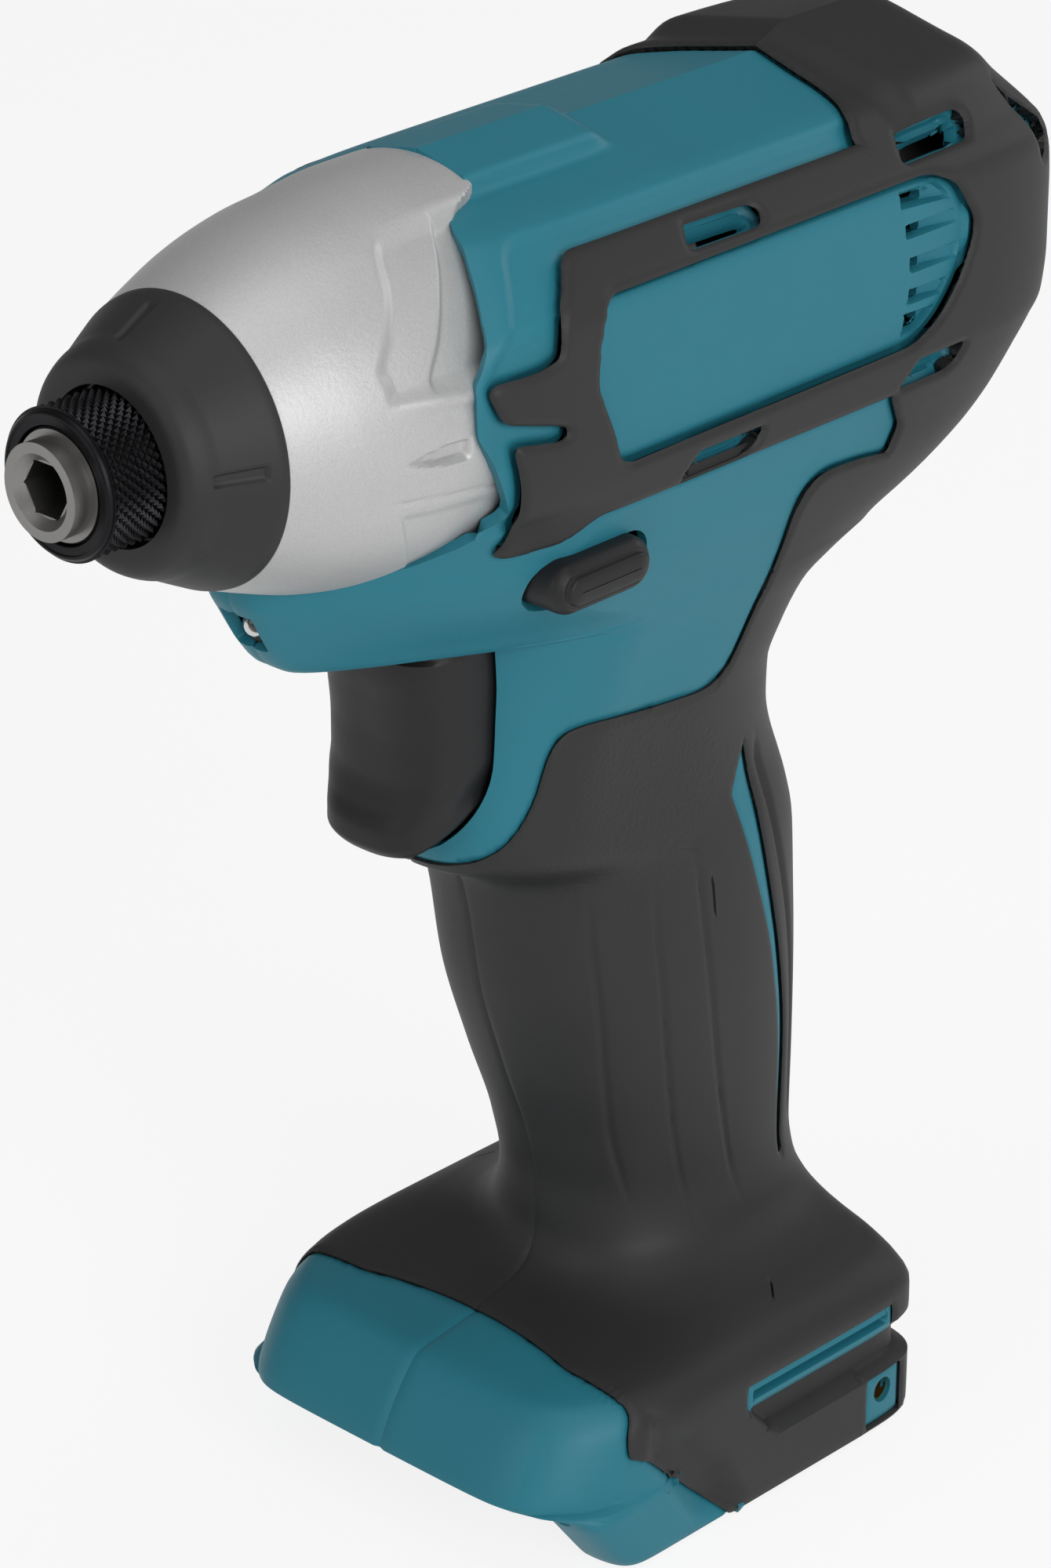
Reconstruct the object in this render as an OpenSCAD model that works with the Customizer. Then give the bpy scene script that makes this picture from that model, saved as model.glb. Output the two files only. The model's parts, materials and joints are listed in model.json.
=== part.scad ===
// Compact impact driver, bare tool without its slide-on battery.
// The tool stands on its foot: +Z is up, the bit points to -Y, +X is the tool's left side.
// Modules are drawn from the bit tip: y runs from the tip to the rear, z from the bit axis.

/* [Bit holder] */
// Bit socket width across flats
bit_af = 6.35; // [6:0.05:7]
// Depth of the hex socket
bit_depth = 24; // [16:0.5:27]
// Diameter of the anvil shaft
anvil_d = 11.7; // [10.6:0.1:12.4]
// Outer diameter of the bit sleeve
sleeve_d = 18.5; // [17.6:0.1:19.6]
// Distance of the sleeve's rim behind the tip
sleeve_setback = 2.4; // [1.5:0.1:4]
// Length of the bit sleeve
sleeve_len = 13.2; // [12:0.1:14]
// Forward travel of the bit sleeve
sleeve_travel = 4; // [2:0.25:5]

/* [Hammer case] */
// Distance from the tip to the visible front edge of the hammer case
nose_len = 21.6; // [20.5:0.1:24]
// Outer diameter of the rubber bumper at its rear edge
bumper_d = 35.8; // [34:0.1:37]
// Length of the bumper
bumper_len = 11.2; // [8:0.1:12]
// Largest outer diameter of the hammer case
case_d = 48.6; // [46:0.1:50]
// Length of the bell that shows in front of the housing
bell_len = 40.4; // [38:0.1:44]
// Wall of the hammer case
case_wall = 2.4; // [1.8:0.1:2.8]
// Length of the rear spigot inside the housing
spigot_len = 22; // [20:0.5:24]

/* [Impact mechanism] */
// Diameter of the hammer
hammer_d = 36.4; // [34:0.1:37]
// Length of the hammer body
hammer_len = 17; // [15:0.5:18]
// Diameter of the spindle shaft
spindle_d = 12; // [11:0.1:13]
// Thickness of the anvil wings
wing_t = 6; // [5:0.1:6.5]
// Rearward travel of the hammer against its spring
hammer_travel = 6; // [4:0.25:7]

/* [Gears] */
// Gear module of the planetary stage
gear_module = 0.65; // [0.6:0.01:0.66]
// Face width of the planet gears
gear_w = 8; // [6:0.25:8.5]

/* [Motor] */
// Outer diameter of the motor can
motor_d = 36; // [34:0.1:37]
// Length of the motor can
can_len = 34; // [30:0.5:35]
// Diameter of the motor shaft
shaft_d = 3.2; // [2.6:0.1:3.6]
// Wall of the motor can
can_wall = 1.7; // [1.2:0.1:2]

/* [Housing] */
// Height of the bit axis above the surface the tool stands on
axis_h = 159; // [154:0.5:168]
// Width of the head across its side panels
head_w = 52.6; // [51:0.2:56]
// Height of the flat top above the bit axis
head_top = 24.4; // [24:0.1:26]
// Width of the flat top
top_w = 18; // [14:0.5:22]
// Room behind the motor, up to the rear face
rear_room = 7.9; // [7.6:0.1:12]
// Wall of the housing shells
wall = 2.4; // [1.8:0.1:2.6]
// Thickness of the elastomer overmould
skin = 1.5; // [1:0.1:1.8]
// Height that the overmould frame stands proud of the head
frame_proud = 0.9; // [0.5:0.1:1.2]

/* [Handle] */
// Width of the grip at its middle
grip_w = 34; // [31:0.2:37]
// Depth of the grip at its top
grip_depth = 50; // [48:0.2:54]
// Depth of the grip at its neck above the foot
neck_depth = 41; // [39:0.2:45]

/* [Foot] */
// Width of the foot
foot_w = 64; // [61:0.2:68]
// Length of the foot with its beak
foot_len = 72; // [70:0.2:76]
// Height of the foot's side walls
foot_h = 21; // [19.5:0.1:23]
// Height of the battery bay
bay_h = 12; // [10:0.1:12.5]
// Height of the beak's lower edge above the base
beak_gap = 10.3; // [9:0.1:11]
// Depth that the hook nuts reach into the foot
hook_nut_len = 8; // [6:0.25:9]

/* [Controls] */
// Width of the trigger
trigger_w = 22; // [19:0.2:23]
// Travel of the trigger
trigger_travel = 6.5; // [4:0.25:7]
// Sideways travel of the direction lever to each side
lever_travel = 3; // [2:0.25:3.5]

/* [Hidden] */
$fn = 48;

// Clearances
run = 0.04;
fit = 0.3;
lap = 1;

// Tooth counts of the planetary stage
sun_n = 9;
planet_n = 21;
ring_n = 51;
pressure = 25;
addendum = 0.8;
dedendum = 1.05;
backlash = 0.03;

// Radii of the bit holder
anvil_r = anvil_d / 2;
sleeve_r = sleeve_d / 2;
sleeve_bore_r = sleeve_r - 1.1;
rim_bore_r = anvil_r + run * 2;
ball_r = 1.5;

// Stations along the bit axis, from the tip
y_washer = sleeve_setback + 1.2;
washer_t = 0.8;
ring_t = 0.9;
land_l = 2.8;
spring_solid = 1.8;
y_ball = y_washer + washer_t + spring_solid + sleeve_travel + land_l / 2;
y_sleeve_end = sleeve_setback + sleeve_len;
y_bell = nose_len;
y_bump = y_bell - bumper_len;
y_spigot = y_bell + bell_len;
y_cavity = y_bell + 11.4;
thrust_t = 1;
y_wing = y_cavity + thrust_t;
y_hammer = y_wing + wing_t + 1;
lug_len = wing_t - 1;
y_hammer_end = y_hammer + hammer_len;
hammer_pocket = 6;
y_spigot_end = y_spigot + spigot_len;
y_cover = y_spigot_end - 1.2;
cover_t = 5.4;
plate_t = 2;
y_gear = y_cover - plate_t - 1 - gear_w;
y_carrier = y_gear - fit - plate_t;
y_plate = y_gear + gear_w + fit;
carrier_flange = 1.4;
y_bracket = y_cover + cover_t;
bracket_t = 3.4;
y_fan = y_bracket + bracket_t + 1;
fan_t = 6;
y_can = y_fan + fan_t + 1.5;
y_can_end = y_can + can_len;
holder_t = 11;
y_holder_end = y_can_end + holder_t;
overall_len = y_holder_end + rear_room;

// Radii of the drive
case_r = case_d / 2;
spigot_r = case_r - 3;
case_bore_r = spigot_r - case_wall;
hammer_r = hammer_d / 2;
spindle_r = spindle_d / 2;
bush_r = anvil_r + 2;
nose_r = bush_r + 2.6;
sun_r = gear_module * sun_n / 2;
planet_r = gear_module * planet_n / 2;
orbit_r = sun_r + planet_r;
pin_r = 2;
journal_r = sun_r + gear_module * addendum + 2.6;
carrier_r = orbit_r + pin_r + 1.6;
bearing_r = journal_r + 4.5;
motor_r = motor_d / 2;
magnet_r = motor_r - can_wall;
magnet_t = 2.8;
rotor_r = magnet_r - magnet_t - 0.5;
shaft_r = shaft_d / 2;
comm_r = 5;
holder_r = motor_r - 3.5;

// Places of the handle, measured from the bit axis
base_z = -axis_h;
foot_top = base_z + foot_h;
neck_z = base_z + 37;
grip_back = y_spigot + 58.5;
grip_front = grip_back - grip_depth;
neck_front = grip_back + 1 - neck_depth;
jaw_bottom = -34.5;
jaw_front = y_bell + 6.4;
trigger_front = y_spigot - 12;
guard_z = -65;
grip_run = 57;
// Height at a distance d below the guard, which follows the handle's length
function below_guard(d) = guard_z - d * (guard_z - neck_z) / grip_run;
trigger_top = jaw_bottom + 1;
slot_back = trigger_front + 16;
lever_y = y_spigot + 2;
lever_z = -22.4;
lever_len = 17;
lever_h = 7;
foot_back = y_spigot + 57.5;
foot_front = foot_back + 3.5 - foot_len;
hook_y = foot_back - 6;
hook_z = base_z + 5.5;
bay_w = foot_w - 14;
rail_t = 3;
rail_h = 3;
bay_top = base_z + bay_h;
vent_n = 5;

// Housing screws: place along y and z, seen from the side
screw_r = 1.6;
screw_head_r = 3;
boss_r = 3.4;
SCREWS = [
  [grip_back - 16, below_guard(41)], [grip_back - 14, below_guard(7)], [grip_back + 10, -30],
  [trigger_front - 5, -28.4], [foot_front + 22, base_z + 17.3], [overall_len - 3.5, 0]
];
screw_reach = 8;
screw_seat = 5;

teal = [0.10, 0.30, 0.37];
rubber = [0.13, 0.13, 0.13];
silver = [0.68, 0.68, 0.68];
steel = [0.60, 0.60, 0.62];
copper = [0.72, 0.42, 0.22];
brass = [0.78, 0.64, 0.32];
dark = [0.08, 0.08, 0.08];

// Stands the tip-based drawing on the base, centred along y
module placed() translate([0, -overall_len / 2, axis_h]) children();

// Turns a drawing along z to run along y from station y0
module along_y(y0) translate([0, y0, 0]) rotate([-90, 0, 0]) children();

// Round bar on the bit axis between two stations
module bar(y0, y1, r, sides = $fn) along_y(y0) cylinder(h = y1 - y0, r = r, $fn = sides);

// Round tube on the bit axis between two stations
module tube(y0, y1, r_out, r_in) {
  difference() {
    bar(y0, y1, r_out);
    bar(y0 - 1, y1 + 1, r_in);
  }
}

// Turned piece: profile points are [radius, station]
module turned(points) along_y(0) rotate_extrude() polygon(points);

// Copies a drawing evenly about the bit axis
module around(n, start = 0) for (i = [0 : n - 1]) rotate([0, start + i * 360 / n, 0]) children();

// Half of a rounded section: from the front point round one side to the back point.
// A higher power makes the front or the back squarer.
function half_ring(w, front, back, front_power, back_power, n) = [
  for (i = [0 : n])
    let (c = cos(180 * i / n), s = sin(180 * i / n), power = c > 0 ? front_power : back_power)
    [w / 2 * pow(max(s, 0), 2 / power),
     (front + back) / 2 - (back - front) / 2 * sign(c) * pow(abs(c), 2 / power)]
];

// Solid through a list of half outlines whose first and last points lie on the x = 0 plane.
// A loft that hollows another one reaches past that plane by lap.
module half_loft(rings, lap = 0) {
  m = len(rings);
  n = len(rings[0]);
  points = [for (ring = rings, j = [0 : n - 1])
    ring[j] - (j == 0 || j == n - 1 ? [lap, 0, 0] : [0, 0, 0])];
  sides = [for (i = [0 : m - 2], j = [0 : n - 2], k = [0 : 1])
    let (a = i * n + j, b = a + n)
    k == 0 ? [a, b, a + 1] : [a + 1, b, b + 1]];
  seam = [for (i = [0 : m - 2], k = [0 : 1])
    let (a = i * n, b = a + n)
    k == 0 ? [a, a + n - 1, b] : [b, a + n - 1, b + n - 1]];
  ends = [for (j = [1 : n - 2], k = [0 : 1])
    k == 0 ? [0, j, j + 1] : [(m - 1) * n, (m - 1) * n + j + 1, (m - 1) * n + j]];
  polyhedron(points = points, faces = concat(sides, seam, ends));
}

// Half of the head: eight-sided sections along y, grown outwards by g
HEAD = [
  // [station, top, bottom, width share, top width share]
  [y_spigot - 20, head_top - 0.6, -25, 0.94, 1],
  [y_spigot + 2, head_top, -29, 1, 1],
  [overall_len - 24, head_top, -30, 1, 1],
  [overall_len - 12.5, head_top - 0.2, -27, 0.98, 0.95],
  [overall_len - 4, head_top - 9, -19, 0.86, 0.9],
  [overall_len, head_top - 15, -11, 0.72, 0.8]
];
// Share of the head's height at which its sides begin to lean in, larger on a wider head
lean_share = head_w / 69.21;
function head_ring(s, g) =
  let (
    w = head_w / 2 * s[3] + g,
    t = s[1] + g,
    b = s[2] - g,
    tw = top_w / 2 * s[4],
    y = s[0] + (s[0] == overall_len ? min(g, 0) : s[0] == y_spigot - 20 ? -g : 0)
  )
  [[0, y, b], [w * 0.6, y, b], [w * 0.86, y, b + 0.35 * (t - b) * 0.6], [w, y, b + 0.34 * (t - b)],
   [w, y, b + lean_share * (t - b)], [(tw + w) * 0.51, y, t - 0.1 * (t - b)], [tw, y, t], [0, y, t]];
module head_half(g, lap = 0)
  half_loft([for (i = [len(HEAD) - 1 : -1 : 0]) head_ring(HEAD[i], g)], lap);

// Half of the jaw under the hammer case, which carries the lamp
JAW = [
  // [station, top, bottom, width]
  [jaw_front, -18, -25.6, 15],
  [jaw_front + 4.6, -17, -30.8, 21],
  [jaw_front + 12, -16, jaw_bottom + 0.8, 30],
  [y_spigot - 12, -10, jaw_bottom, 38],
  [y_spigot + 5.2, -10, jaw_bottom, 42]
];
function jaw_ring(s, g) =
  let (w = s[3] / 2 + g, b = s[2] - g, y = s[0] - (s[0] == jaw_front ? g : 0))
  [[0, y, b], [w * 0.55, y, b + 0.4], [w * 0.9, y, b + 4], [w, y, b + 9], [w, y, s[1]], [0, y, s[1]]];
module jaw_half(g, lap = 0)
  half_loft([for (i = [len(JAW) - 1 : -1 : 0]) jaw_ring(JAW[i], g)], lap);

// Half of the handle: rounded sections along z
HANDLE = [
  // [height, front, back, width, power of the front]
  [base_z + 14, neck_front - 2, grip_back + 1, grip_w - 2, 2.4],
  [neck_z - 4, neck_front + 0.4, grip_back + 1.2, grip_w - 4, 2.4],
  [below_guard(48), neck_front - 1, grip_back + 1, grip_w - 3, 2.4],
  [below_guard(35), neck_front - 5.6, grip_back + 0.8, grip_w - 1, 2.4],
  [below_guard(23), grip_front, grip_back - 0.4, grip_w, 2.4],
  [below_guard(11), grip_front - 2.6, grip_back - 1, grip_w + 0.4, 2.6],
  [below_guard(5), grip_front - 5, grip_back - 2.4, grip_w, 3],
  [guard_z - 1.4, grip_front - 11, grip_back - 3.6, grip_w - 1, 4.5],
  [guard_z + 2, grip_front - 12.4, grip_back - 5, grip_w - 1, 7],
  [-50, grip_front - 11.4, grip_back - 4.4, grip_w + 1, 7],
  [-40, grip_front - 11, grip_back + 2.4, grip_w + 5, 5],
  [-30, grip_front - 14, grip_back + 17, grip_w + 11, 3.4],
  [-18, grip_front - 18, grip_back + 27, grip_w + 15, 2.6]
];
handle_sides = 12;
function handle_ring(s, g) = [
  for (p = half_ring(s[3] + 2 * g, s[1] - g, s[2] + g, s[4], 2.4, handle_sides)) [p[0], p[1], s[0]]
];
module handle_half(g, lap = 0) half_loft([for (s = HANDLE) handle_ring(s, g)], lap);

// Half of the foot: a flared collar, straight walls and the beak in front
FOOT = [
  // [height, front, back, width, corner power]
  [base_z, foot_front + 12, foot_back, foot_w - 2, 7],
  [base_z + 6, foot_front + 12, foot_back + 1.6, foot_w, 7],
  [foot_top - 4, foot_front + 12.6, foot_back + 2.6, foot_w, 6.5],
  [foot_top + 2, foot_front + 17, foot_back + 2.4, foot_w - 6, 5.5],
  [foot_top + 7, foot_front + 23, foot_back + 2.2, grip_w + 10, 3.6],
  [neck_z, neck_front - 0.6, grip_back + 1.2, grip_w - 3.4, 2.4]
];
foot_sides = 16;
function foot_ring(s, g) = [
  for (p = half_ring(s[3] + 2 * g, s[1] - g, s[2] + g, s[4], s[4], foot_sides))
    [p[0], p[1], s[0] - (s[0] == base_z ? min(g, 0) : 0)]
];
module foot_half(g, lap = 0) half_loft([for (s = FOOT) foot_ring(s, g)], lap);

// Half of the beak that closes the front of the foot
BEAK = [
  // [station, lower edge, upper edge, width]
  [foot_front, base_z + beak_gap, base_z + beak_gap + 3.4, foot_w - 13],
  [foot_front + 6.4, base_z + beak_gap, foot_top + 1.2, foot_w - 9],
  [foot_front + 20, base_z + beak_gap, foot_top + 2.4, foot_w - 5],
  [foot_front + 26, base_z + beak_gap, foot_top + 2, foot_w - 5]
];
function beak_ring(s, g) =
  let (w = s[3] / 2 + g, y = s[0] - (s[0] == foot_front ? g : 0))
  [[0, y, s[1]], [w, y, s[1]], [w, y, s[1] + 0.6 * (s[2] - s[1])],
   [w * 0.8, y, s[2] + g], [0, y, s[2] + g]];
module beak_half(g, lap = 0)
  half_loft([for (i = [len(BEAK) - 1 : -1 : 0]) beak_ring(BEAK[i], g)], lap);

// Whole outer form of one half, grown outwards by g
module body_half(g) {
  head_half(g);
  jaw_half(g);
  handle_half(g);
  foot_half(g);
  beak_half(g);
}

// Side view areas, drawn in y and z and extruded across the tool
module side_area(points, x0, x1)
  translate([x0, 0, 0]) rotate([90, 0, 90]) linear_extrude(x1 - x0) polygon(points);

// Area in front of the housing's edge, where the hammer case shows
case_window = [
  [-1, head_top + 9], [y_spigot - 2, head_top + 9], [y_spigot - 2, head_top - 1], [y_spigot - 9.6, 17.8],
  [y_spigot - 14, 12], [y_spigot - 17.4, 3], [y_spigot - 14.4, -4.6], [y_spigot - 12, -14],
  [y_spigot - 14, -18], [y_spigot - 25, -21.6], [jaw_front - 0.6, -21.2], [-1, -21.2]
];

// Area of the overmould on the handle, the foot and the back of the head
grip_area = [
  [foot_front + 19.6, foot_top - 4.3], [foot_front + 31, base_z + 9], [foot_front + 34, base_z - 1],
  [grip_back + 9, base_z - 1], [overall_len + 2, -40], [overall_len + 2, head_top + 2],
  [overall_len - 18, head_top + 2], [overall_len - 20, 16], [overall_len - 24, 11], [overall_len - 24, -14],
  [overall_len - 27, -20], [overall_len - 45, -30], [overall_len - 50, -45], [grip_front + 10, -48],
  [grip_front - 1, -60], [grip_front - 8, below_guard(5)], [neck_front - 12, below_guard(7)],
  [neck_front - 12, foot_top + 4]
];

// Frame of overmould round the side panel of the head
frame_front = y_spigot - 3.4;
frame_area = [
  [frame_front, 17.3], [overall_len - 16, 17.3], [overall_len - 16, -18.3], [frame_front + 4, -18.3],
  [frame_front - 8.6, -16.6], [frame_front - 7, -12], [frame_front - 7.6, -4.4], [frame_front - 2, -4],
  [frame_front - 2, -2.4], [frame_front - 9.4, -2.6], [frame_front - 11, 2],
  [frame_front - 10, 5], [frame_front, 7]
];
panel_area = [
  [frame_front + 6, 11.6], [overall_len - 31, 11.6], [overall_len - 23, 2],
  [overall_len - 33, -10.8], [frame_front + 9, -9]
];

// Elastomer of one half: the skin of the body in the grip's area and the frame on the head
module grip_half() {
  difference() {
    union() {
      intersection() {
        body_half(0);
        side_area(grip_area, -lap / 2, foot_w);
      }
      difference() {
        intersection() {
          head_half(frame_proud);
          side_area(frame_area, head_w / 4, foot_w);
        }
        side_area(panel_area, 0, foot_w);
      }
    }
    grip_core();
    band_slots();
    hook_slot();
    foot_cut();
    jaw_cut();
    bell_room();
    grip_lines();
  }
}

// Four shallow lines down the side of the grip
line_n = 4;
line_t = 0.8;
line_pitch = 6.5;
line_top = below_guard(15);
line_fn = 8;
module grip_lines()
  for (i = [0 : line_n - 1]) hull() {
    translate([grip_w / 2 - 0.5, grip_back - 32.7 + i * line_pitch, line_top])
      sphere(r = line_t, $fn = line_fn);
    translate([grip_w / 2 - 1.8, grip_back - 26 + i * line_pitch * 0.8, neck_z + 4])
      sphere(r = line_t, $fn = line_fn);
  }

// Solid under the overmould of one half
module grip_core() {
  head_half(-skin, lap);
  handle_half(-skin, lap);
  foot_half(-skin, lap);
  beak_half(-skin, lap);
}

// Slots through the frame's upper and lower bands
slot_l = 11;
slot_h = 2.6;
module band_slots()
  for (y = [frame_front + 23, overall_len - 34], z = [13.6, -14.6])
    side_slot(head_w / 4, y, z, slot_l, slot_h);

// Slot with round ends that runs across the tool from x0 outwards
module side_slot(x0, y, z, l, h) translate([x0, y, z]) rotate([0, 90, 0]) hull() {
  translate([0, h / 2, 0]) cylinder(h = foot_w, r = h / 2, $fn = slot_fn);
  translate([0, l - h / 2, 0]) cylinder(h = foot_w, r = h / 2, $fn = slot_fn);
}
slot_fn = 16;

// Slot and seat for a belt hook on the side of the foot
hook_slot_y = foot_back - 33.5;
hook_slot_l = 27;
module hook_slot() {
  side_slot(foot_w / 2 - 3, hook_slot_y, base_z + 18.4, hook_slot_l, 2.2);
  translate([foot_w / 2 - hook_nut_len - 1, hook_y, hook_z]) rotate([0, 90, 0])
    cylinder(h = foot_w, r = round_hole(nut_r), $fn = hole_fn);
}

// Radius whose polygon of hole_fn sides clears a round piece of radius r
hole_fn = 24;
function round_hole(r) = (r + run) / cos(180 / hole_fn);

// Battery bay with its rails, open to the front and below
module foot_cut() {
  bay_l = hook_y - nut_r - wall - foot_front + 9;
  translate([-lap, foot_front - 9, base_z - lap]) cube([bay_w / 2 + lap, bay_l, rail_h + 2 * lap]);
  translate([-lap, foot_front - 9, base_z + rail_h]) cube([bay_w / 2 + lap + rail_t, bay_l, bay_h - rail_h]);
}

// Trigger opening between the jaw and the guard
slot_w = trigger_w + 2 * fit;
module jaw_cut()
  translate([-1, trigger_front - 4, guard_z + 2])
    cube([slot_w / 2 + 1, slot_back - trigger_front + 4, trigger_top + fit - guard_z - 2]);

// Room inside one half
module cavity_half() {
  t = wall + skin;
  difference() {
    union() {
      head_half(-t, lap);
      handle_half(-t, lap);
    }
    motor_ribs();
    translate([-1, 0, base_z]) cube([foot_w, overall_len, foot_h + wall]);
  }
  block_room();
  bell_room();
  bar(y_bell, y_bracket, round_hole(spigot_r), hole_fn);
  bar(y_bracket - lap, y_holder_end + lap, round_hole(holder_r), hole_fn);
  bar(y_bracket - lap, y_can_end + cup_t + run, round_hole(motor_r), hole_fn);
  lamp_room();
}

// Room for the bell of the hammer case
bell_fn = 48;
module bell_room() along_y(0) rotate_extrude($fn = bell_fn) polygon(concat(
  [[0, y_bell]],
  [for (i = [0 : bell_steps])
    [(bell_r(i / bell_steps) + run) / cos(180 / bell_fn), bell_y(i) + (i == bell_steps ? run : 0)]],
  [[0, y_spigot + run]]));

// Ribs across the head that hold the motor
rib_t = 2.4;
rib_low = 32;
module motor_ribs()
  for (y = [y_bracket + 0.4, y_can + 3, y_can_end - 5, y_holder_end - 6])
    translate([-lap, y, -rib_low]) cube([foot_w, rib_t, 2 * rib_low]);

// Seat of the work lamp in the jaw
lamp_r = 2.1;
lamp_y = jaw_front + 4;
lamp_z = -26.4;
holder_w = 11;
holder_l = 9;
module lamp_room() {
  translate([-lap, lamp_y, lamp_z - 4]) cube([holder_w / 2 + lap + fit, holder_l, 7]);
  along_y(jaw_front - 5) translate([0, -lamp_z, 0]) cylinder(h = 10, r = lamp_r + 0.4, $fn = slot_fn);
}

// Slot for the direction lever
module lever_cut()
  side_slot(-1, lever_y - lever_len / 2 - fit, lever_z, lever_len + 2 * fit, lever_h + 2 * fit);

// Cooling slots behind the side panel
vent_t = 1.7;
vent_pitch = 3.9;
module side_vents()
  for (i = [0 : vent_n - 1])
    side_slot(head_w / 2 - wall - 4, overall_len - 34, (i - 2) * vent_pitch + 0.6, 7, vent_t);

// Bars across the tool at the housing screws
module at_screws(r, x0, x1)
  for (s = SCREWS) translate([x0, s[0], s[1]]) rotate([0, 90, 0])
    cylinder(h = x1 - x0, r = r, $fn = hole_fn);

// Room above the battery bay that takes the terminal block
block_w = 26;
block_l = 22;
block_y = foot_back - 35;
block_drop = 4;
block_top = foot_top + wall - 2;
module block_room()
  translate([-1, block_y, bay_top - 1]) cube([block_w / 2 + 1, block_l, foot_h - bay_h + wall + 2]);

// One housing half, with screw pillars of the given radius
module housing_half(pillar_r) {
  difference() {
    union() {
      difference() {
        body_half(0);
        cavity_half();
      }
      intersection() {
        body_half(-skin);
        at_screws(pillar_r, 0, foot_w / 2);
      }
    }
    difference() {
      side_area(grip_area, -lap / 2, foot_w);
      grip_core();
    }
    difference() {
      intersection() {
        side_area(frame_area, head_w / 4, foot_w);
        head_half(1);
      }
      head_half(-skin);
      side_area(panel_area, 0, foot_w);
    }
    side_area(case_window, -1, foot_w);
    band_slots();
    side_vents();
    hook_slot();
    foot_cut();
    jaw_cut();
    lever_cut();
    at_screws(round_hole(screw_r), -1, screw_reach + fit);
  }
}

// Left housing half, which takes the screw threads
module housing_left() color(teal) placed() housing_half(boss_r);

// Right housing half, with deep seats for the screw heads
module housing_right() color(teal) placed() mirror([1, 0, 0]) difference() {
  housing_half(screw_head_r + 1.2);
  at_screws(round_hole(screw_head_r), screw_seat, foot_w);
}

module grip_left() color(rubber) placed() grip_half();

// Right overmould, with the screw seats passing through it
module grip_right() color(rubber) placed() mirror([1, 0, 0]) difference() {
  grip_half();
  at_screws(round_hole(screw_head_r), 0, foot_w);
}

// Screws that hold the housing halves together, driven from the right
screw_head_t = 2;
module housing_screws() color(steel) placed() {
  for (s = SCREWS)
    translate([-screw_seat - screw_head_t, s[0], s[1]])
      rotate([0, 90, 0]) {
        difference() {
          cylinder(h = screw_head_t, r = screw_head_r);
          translate([0, 0, -lap]) cylinder(h = 1 + lap, r = 1.3, $fn = 6);
        }
        cylinder(h = screw_head_t + screw_seat + screw_reach, r = screw_r);
      }
}

// Bell of the hammer case: radius at a share t of its length
bell_bulge = 0.72;
function bell_r(t) = bumper_d / 2 + (case_r - bumper_d / 2) * sin(90 * min(1, t / bell_bulge));
bell_steps = 10;
function bell_y(i) = y_bell + bell_len * i / bell_steps;
y_nose = y_sleeve_end + 0.6;
module hammer_case() color(silver) placed() turned(concat(
  [[bush_r, y_nose], [nose_r, y_nose], [nose_r, y_bell]],
  [for (i = [0 : bell_steps]) [bell_r(i / bell_steps), bell_y(i)]],
  [[spigot_r, y_spigot], [spigot_r, y_spigot_end], [case_bore_r, y_spigot_end],
   [case_bore_r, y_cavity + 1], [case_bore_r - 1, y_cavity], [bush_r, y_cavity]]));

// Rubber ring that shields the nose of the hammer case
bumper_round = 2.4;
bumper_flare = 4.6;
bumper_bore_r = sleeve_r + 0.7;
module bumper() color(rubber) placed() turned([
  [bumper_bore_r, y_bump], [bumper_d / 2 - bumper_flare - bumper_round, y_bump],
  [bumper_d / 2 - bumper_flare, y_bump + bumper_round / 2],
  [bumper_d / 2 - bumper_flare + bumper_round / 2, y_bump + bumper_round],
  [bumper_d / 2, y_bell], [nose_r, y_bell], [nose_r, y_nose], [bumper_bore_r, y_nose]
]);

// Knurled sleeve that frees the bit when it is pulled forward
module bit_sleeve() color(dark) placed() turned([
  [sleeve_bore_r, sleeve_setback], [sleeve_r - 0.4, sleeve_setback], [sleeve_r, sleeve_setback + 0.4],
  [sleeve_r, y_sleeve_end], [sleeve_bore_r, y_sleeve_end], [sleeve_bore_r, y_ball + land_l / 2],
  [rim_bore_r, y_ball + land_l / 2], [rim_bore_r, y_ball - land_l / 2], [sleeve_bore_r, y_ball - land_l / 2]
]);

// Round wire wound about the y axis
wire_sides = 6;
function coil_points(r, wire, y0, y1, turns, steps) = [
  for (i = [0 : turns * steps], k = [0 : wire_sides - 1])
    let (
      a = 360 * i / steps,
      q = 360 * k / wire_sides,
      y = y0 + wire + (y1 - y0 - 2 * wire) * i / (turns * steps)
    )
    [(r + wire * cos(q)) * cos(a), y + wire * sin(q), (r + wire * cos(q)) * sin(a)]
];
module coil(r, wire, y0, y1, turns, steps) {
  m = turns * steps;
  faces = [for (i = [0 : m - 1], k = [0 : wire_sides - 1], h = [0 : 1])
    let (a = i * wire_sides + k, b = i * wire_sides + (k + 1) % wire_sides)
    h == 0 ? [a, a + wire_sides, b] : [b, a + wire_sides, b + wire_sides]];
  caps = [for (k = [1 : wire_sides - 2], h = [0 : 1])
    h == 0 ? [0, k, k + 1] : [m * wire_sides, m * wire_sides + k + 1, m * wire_sides + k]];
  polyhedron(points = coil_points(r, wire, y0, y1, turns, steps), faces = concat(faces, caps));
}

sleeve_wire = 0.35;
sleeve_turns = 2.5;
module sleeve_spring() color(steel) placed()
  coil((anvil_r + sleeve_bore_r) / 2, sleeve_wire, y_washer + washer_t,
    y_ball - land_l / 2, sleeve_turns, 16);

module sleeve_washer() color(dark) placed()
  tube(y_washer, y_washer + washer_t, sleeve_bore_r - fit, anvil_r);

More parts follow.
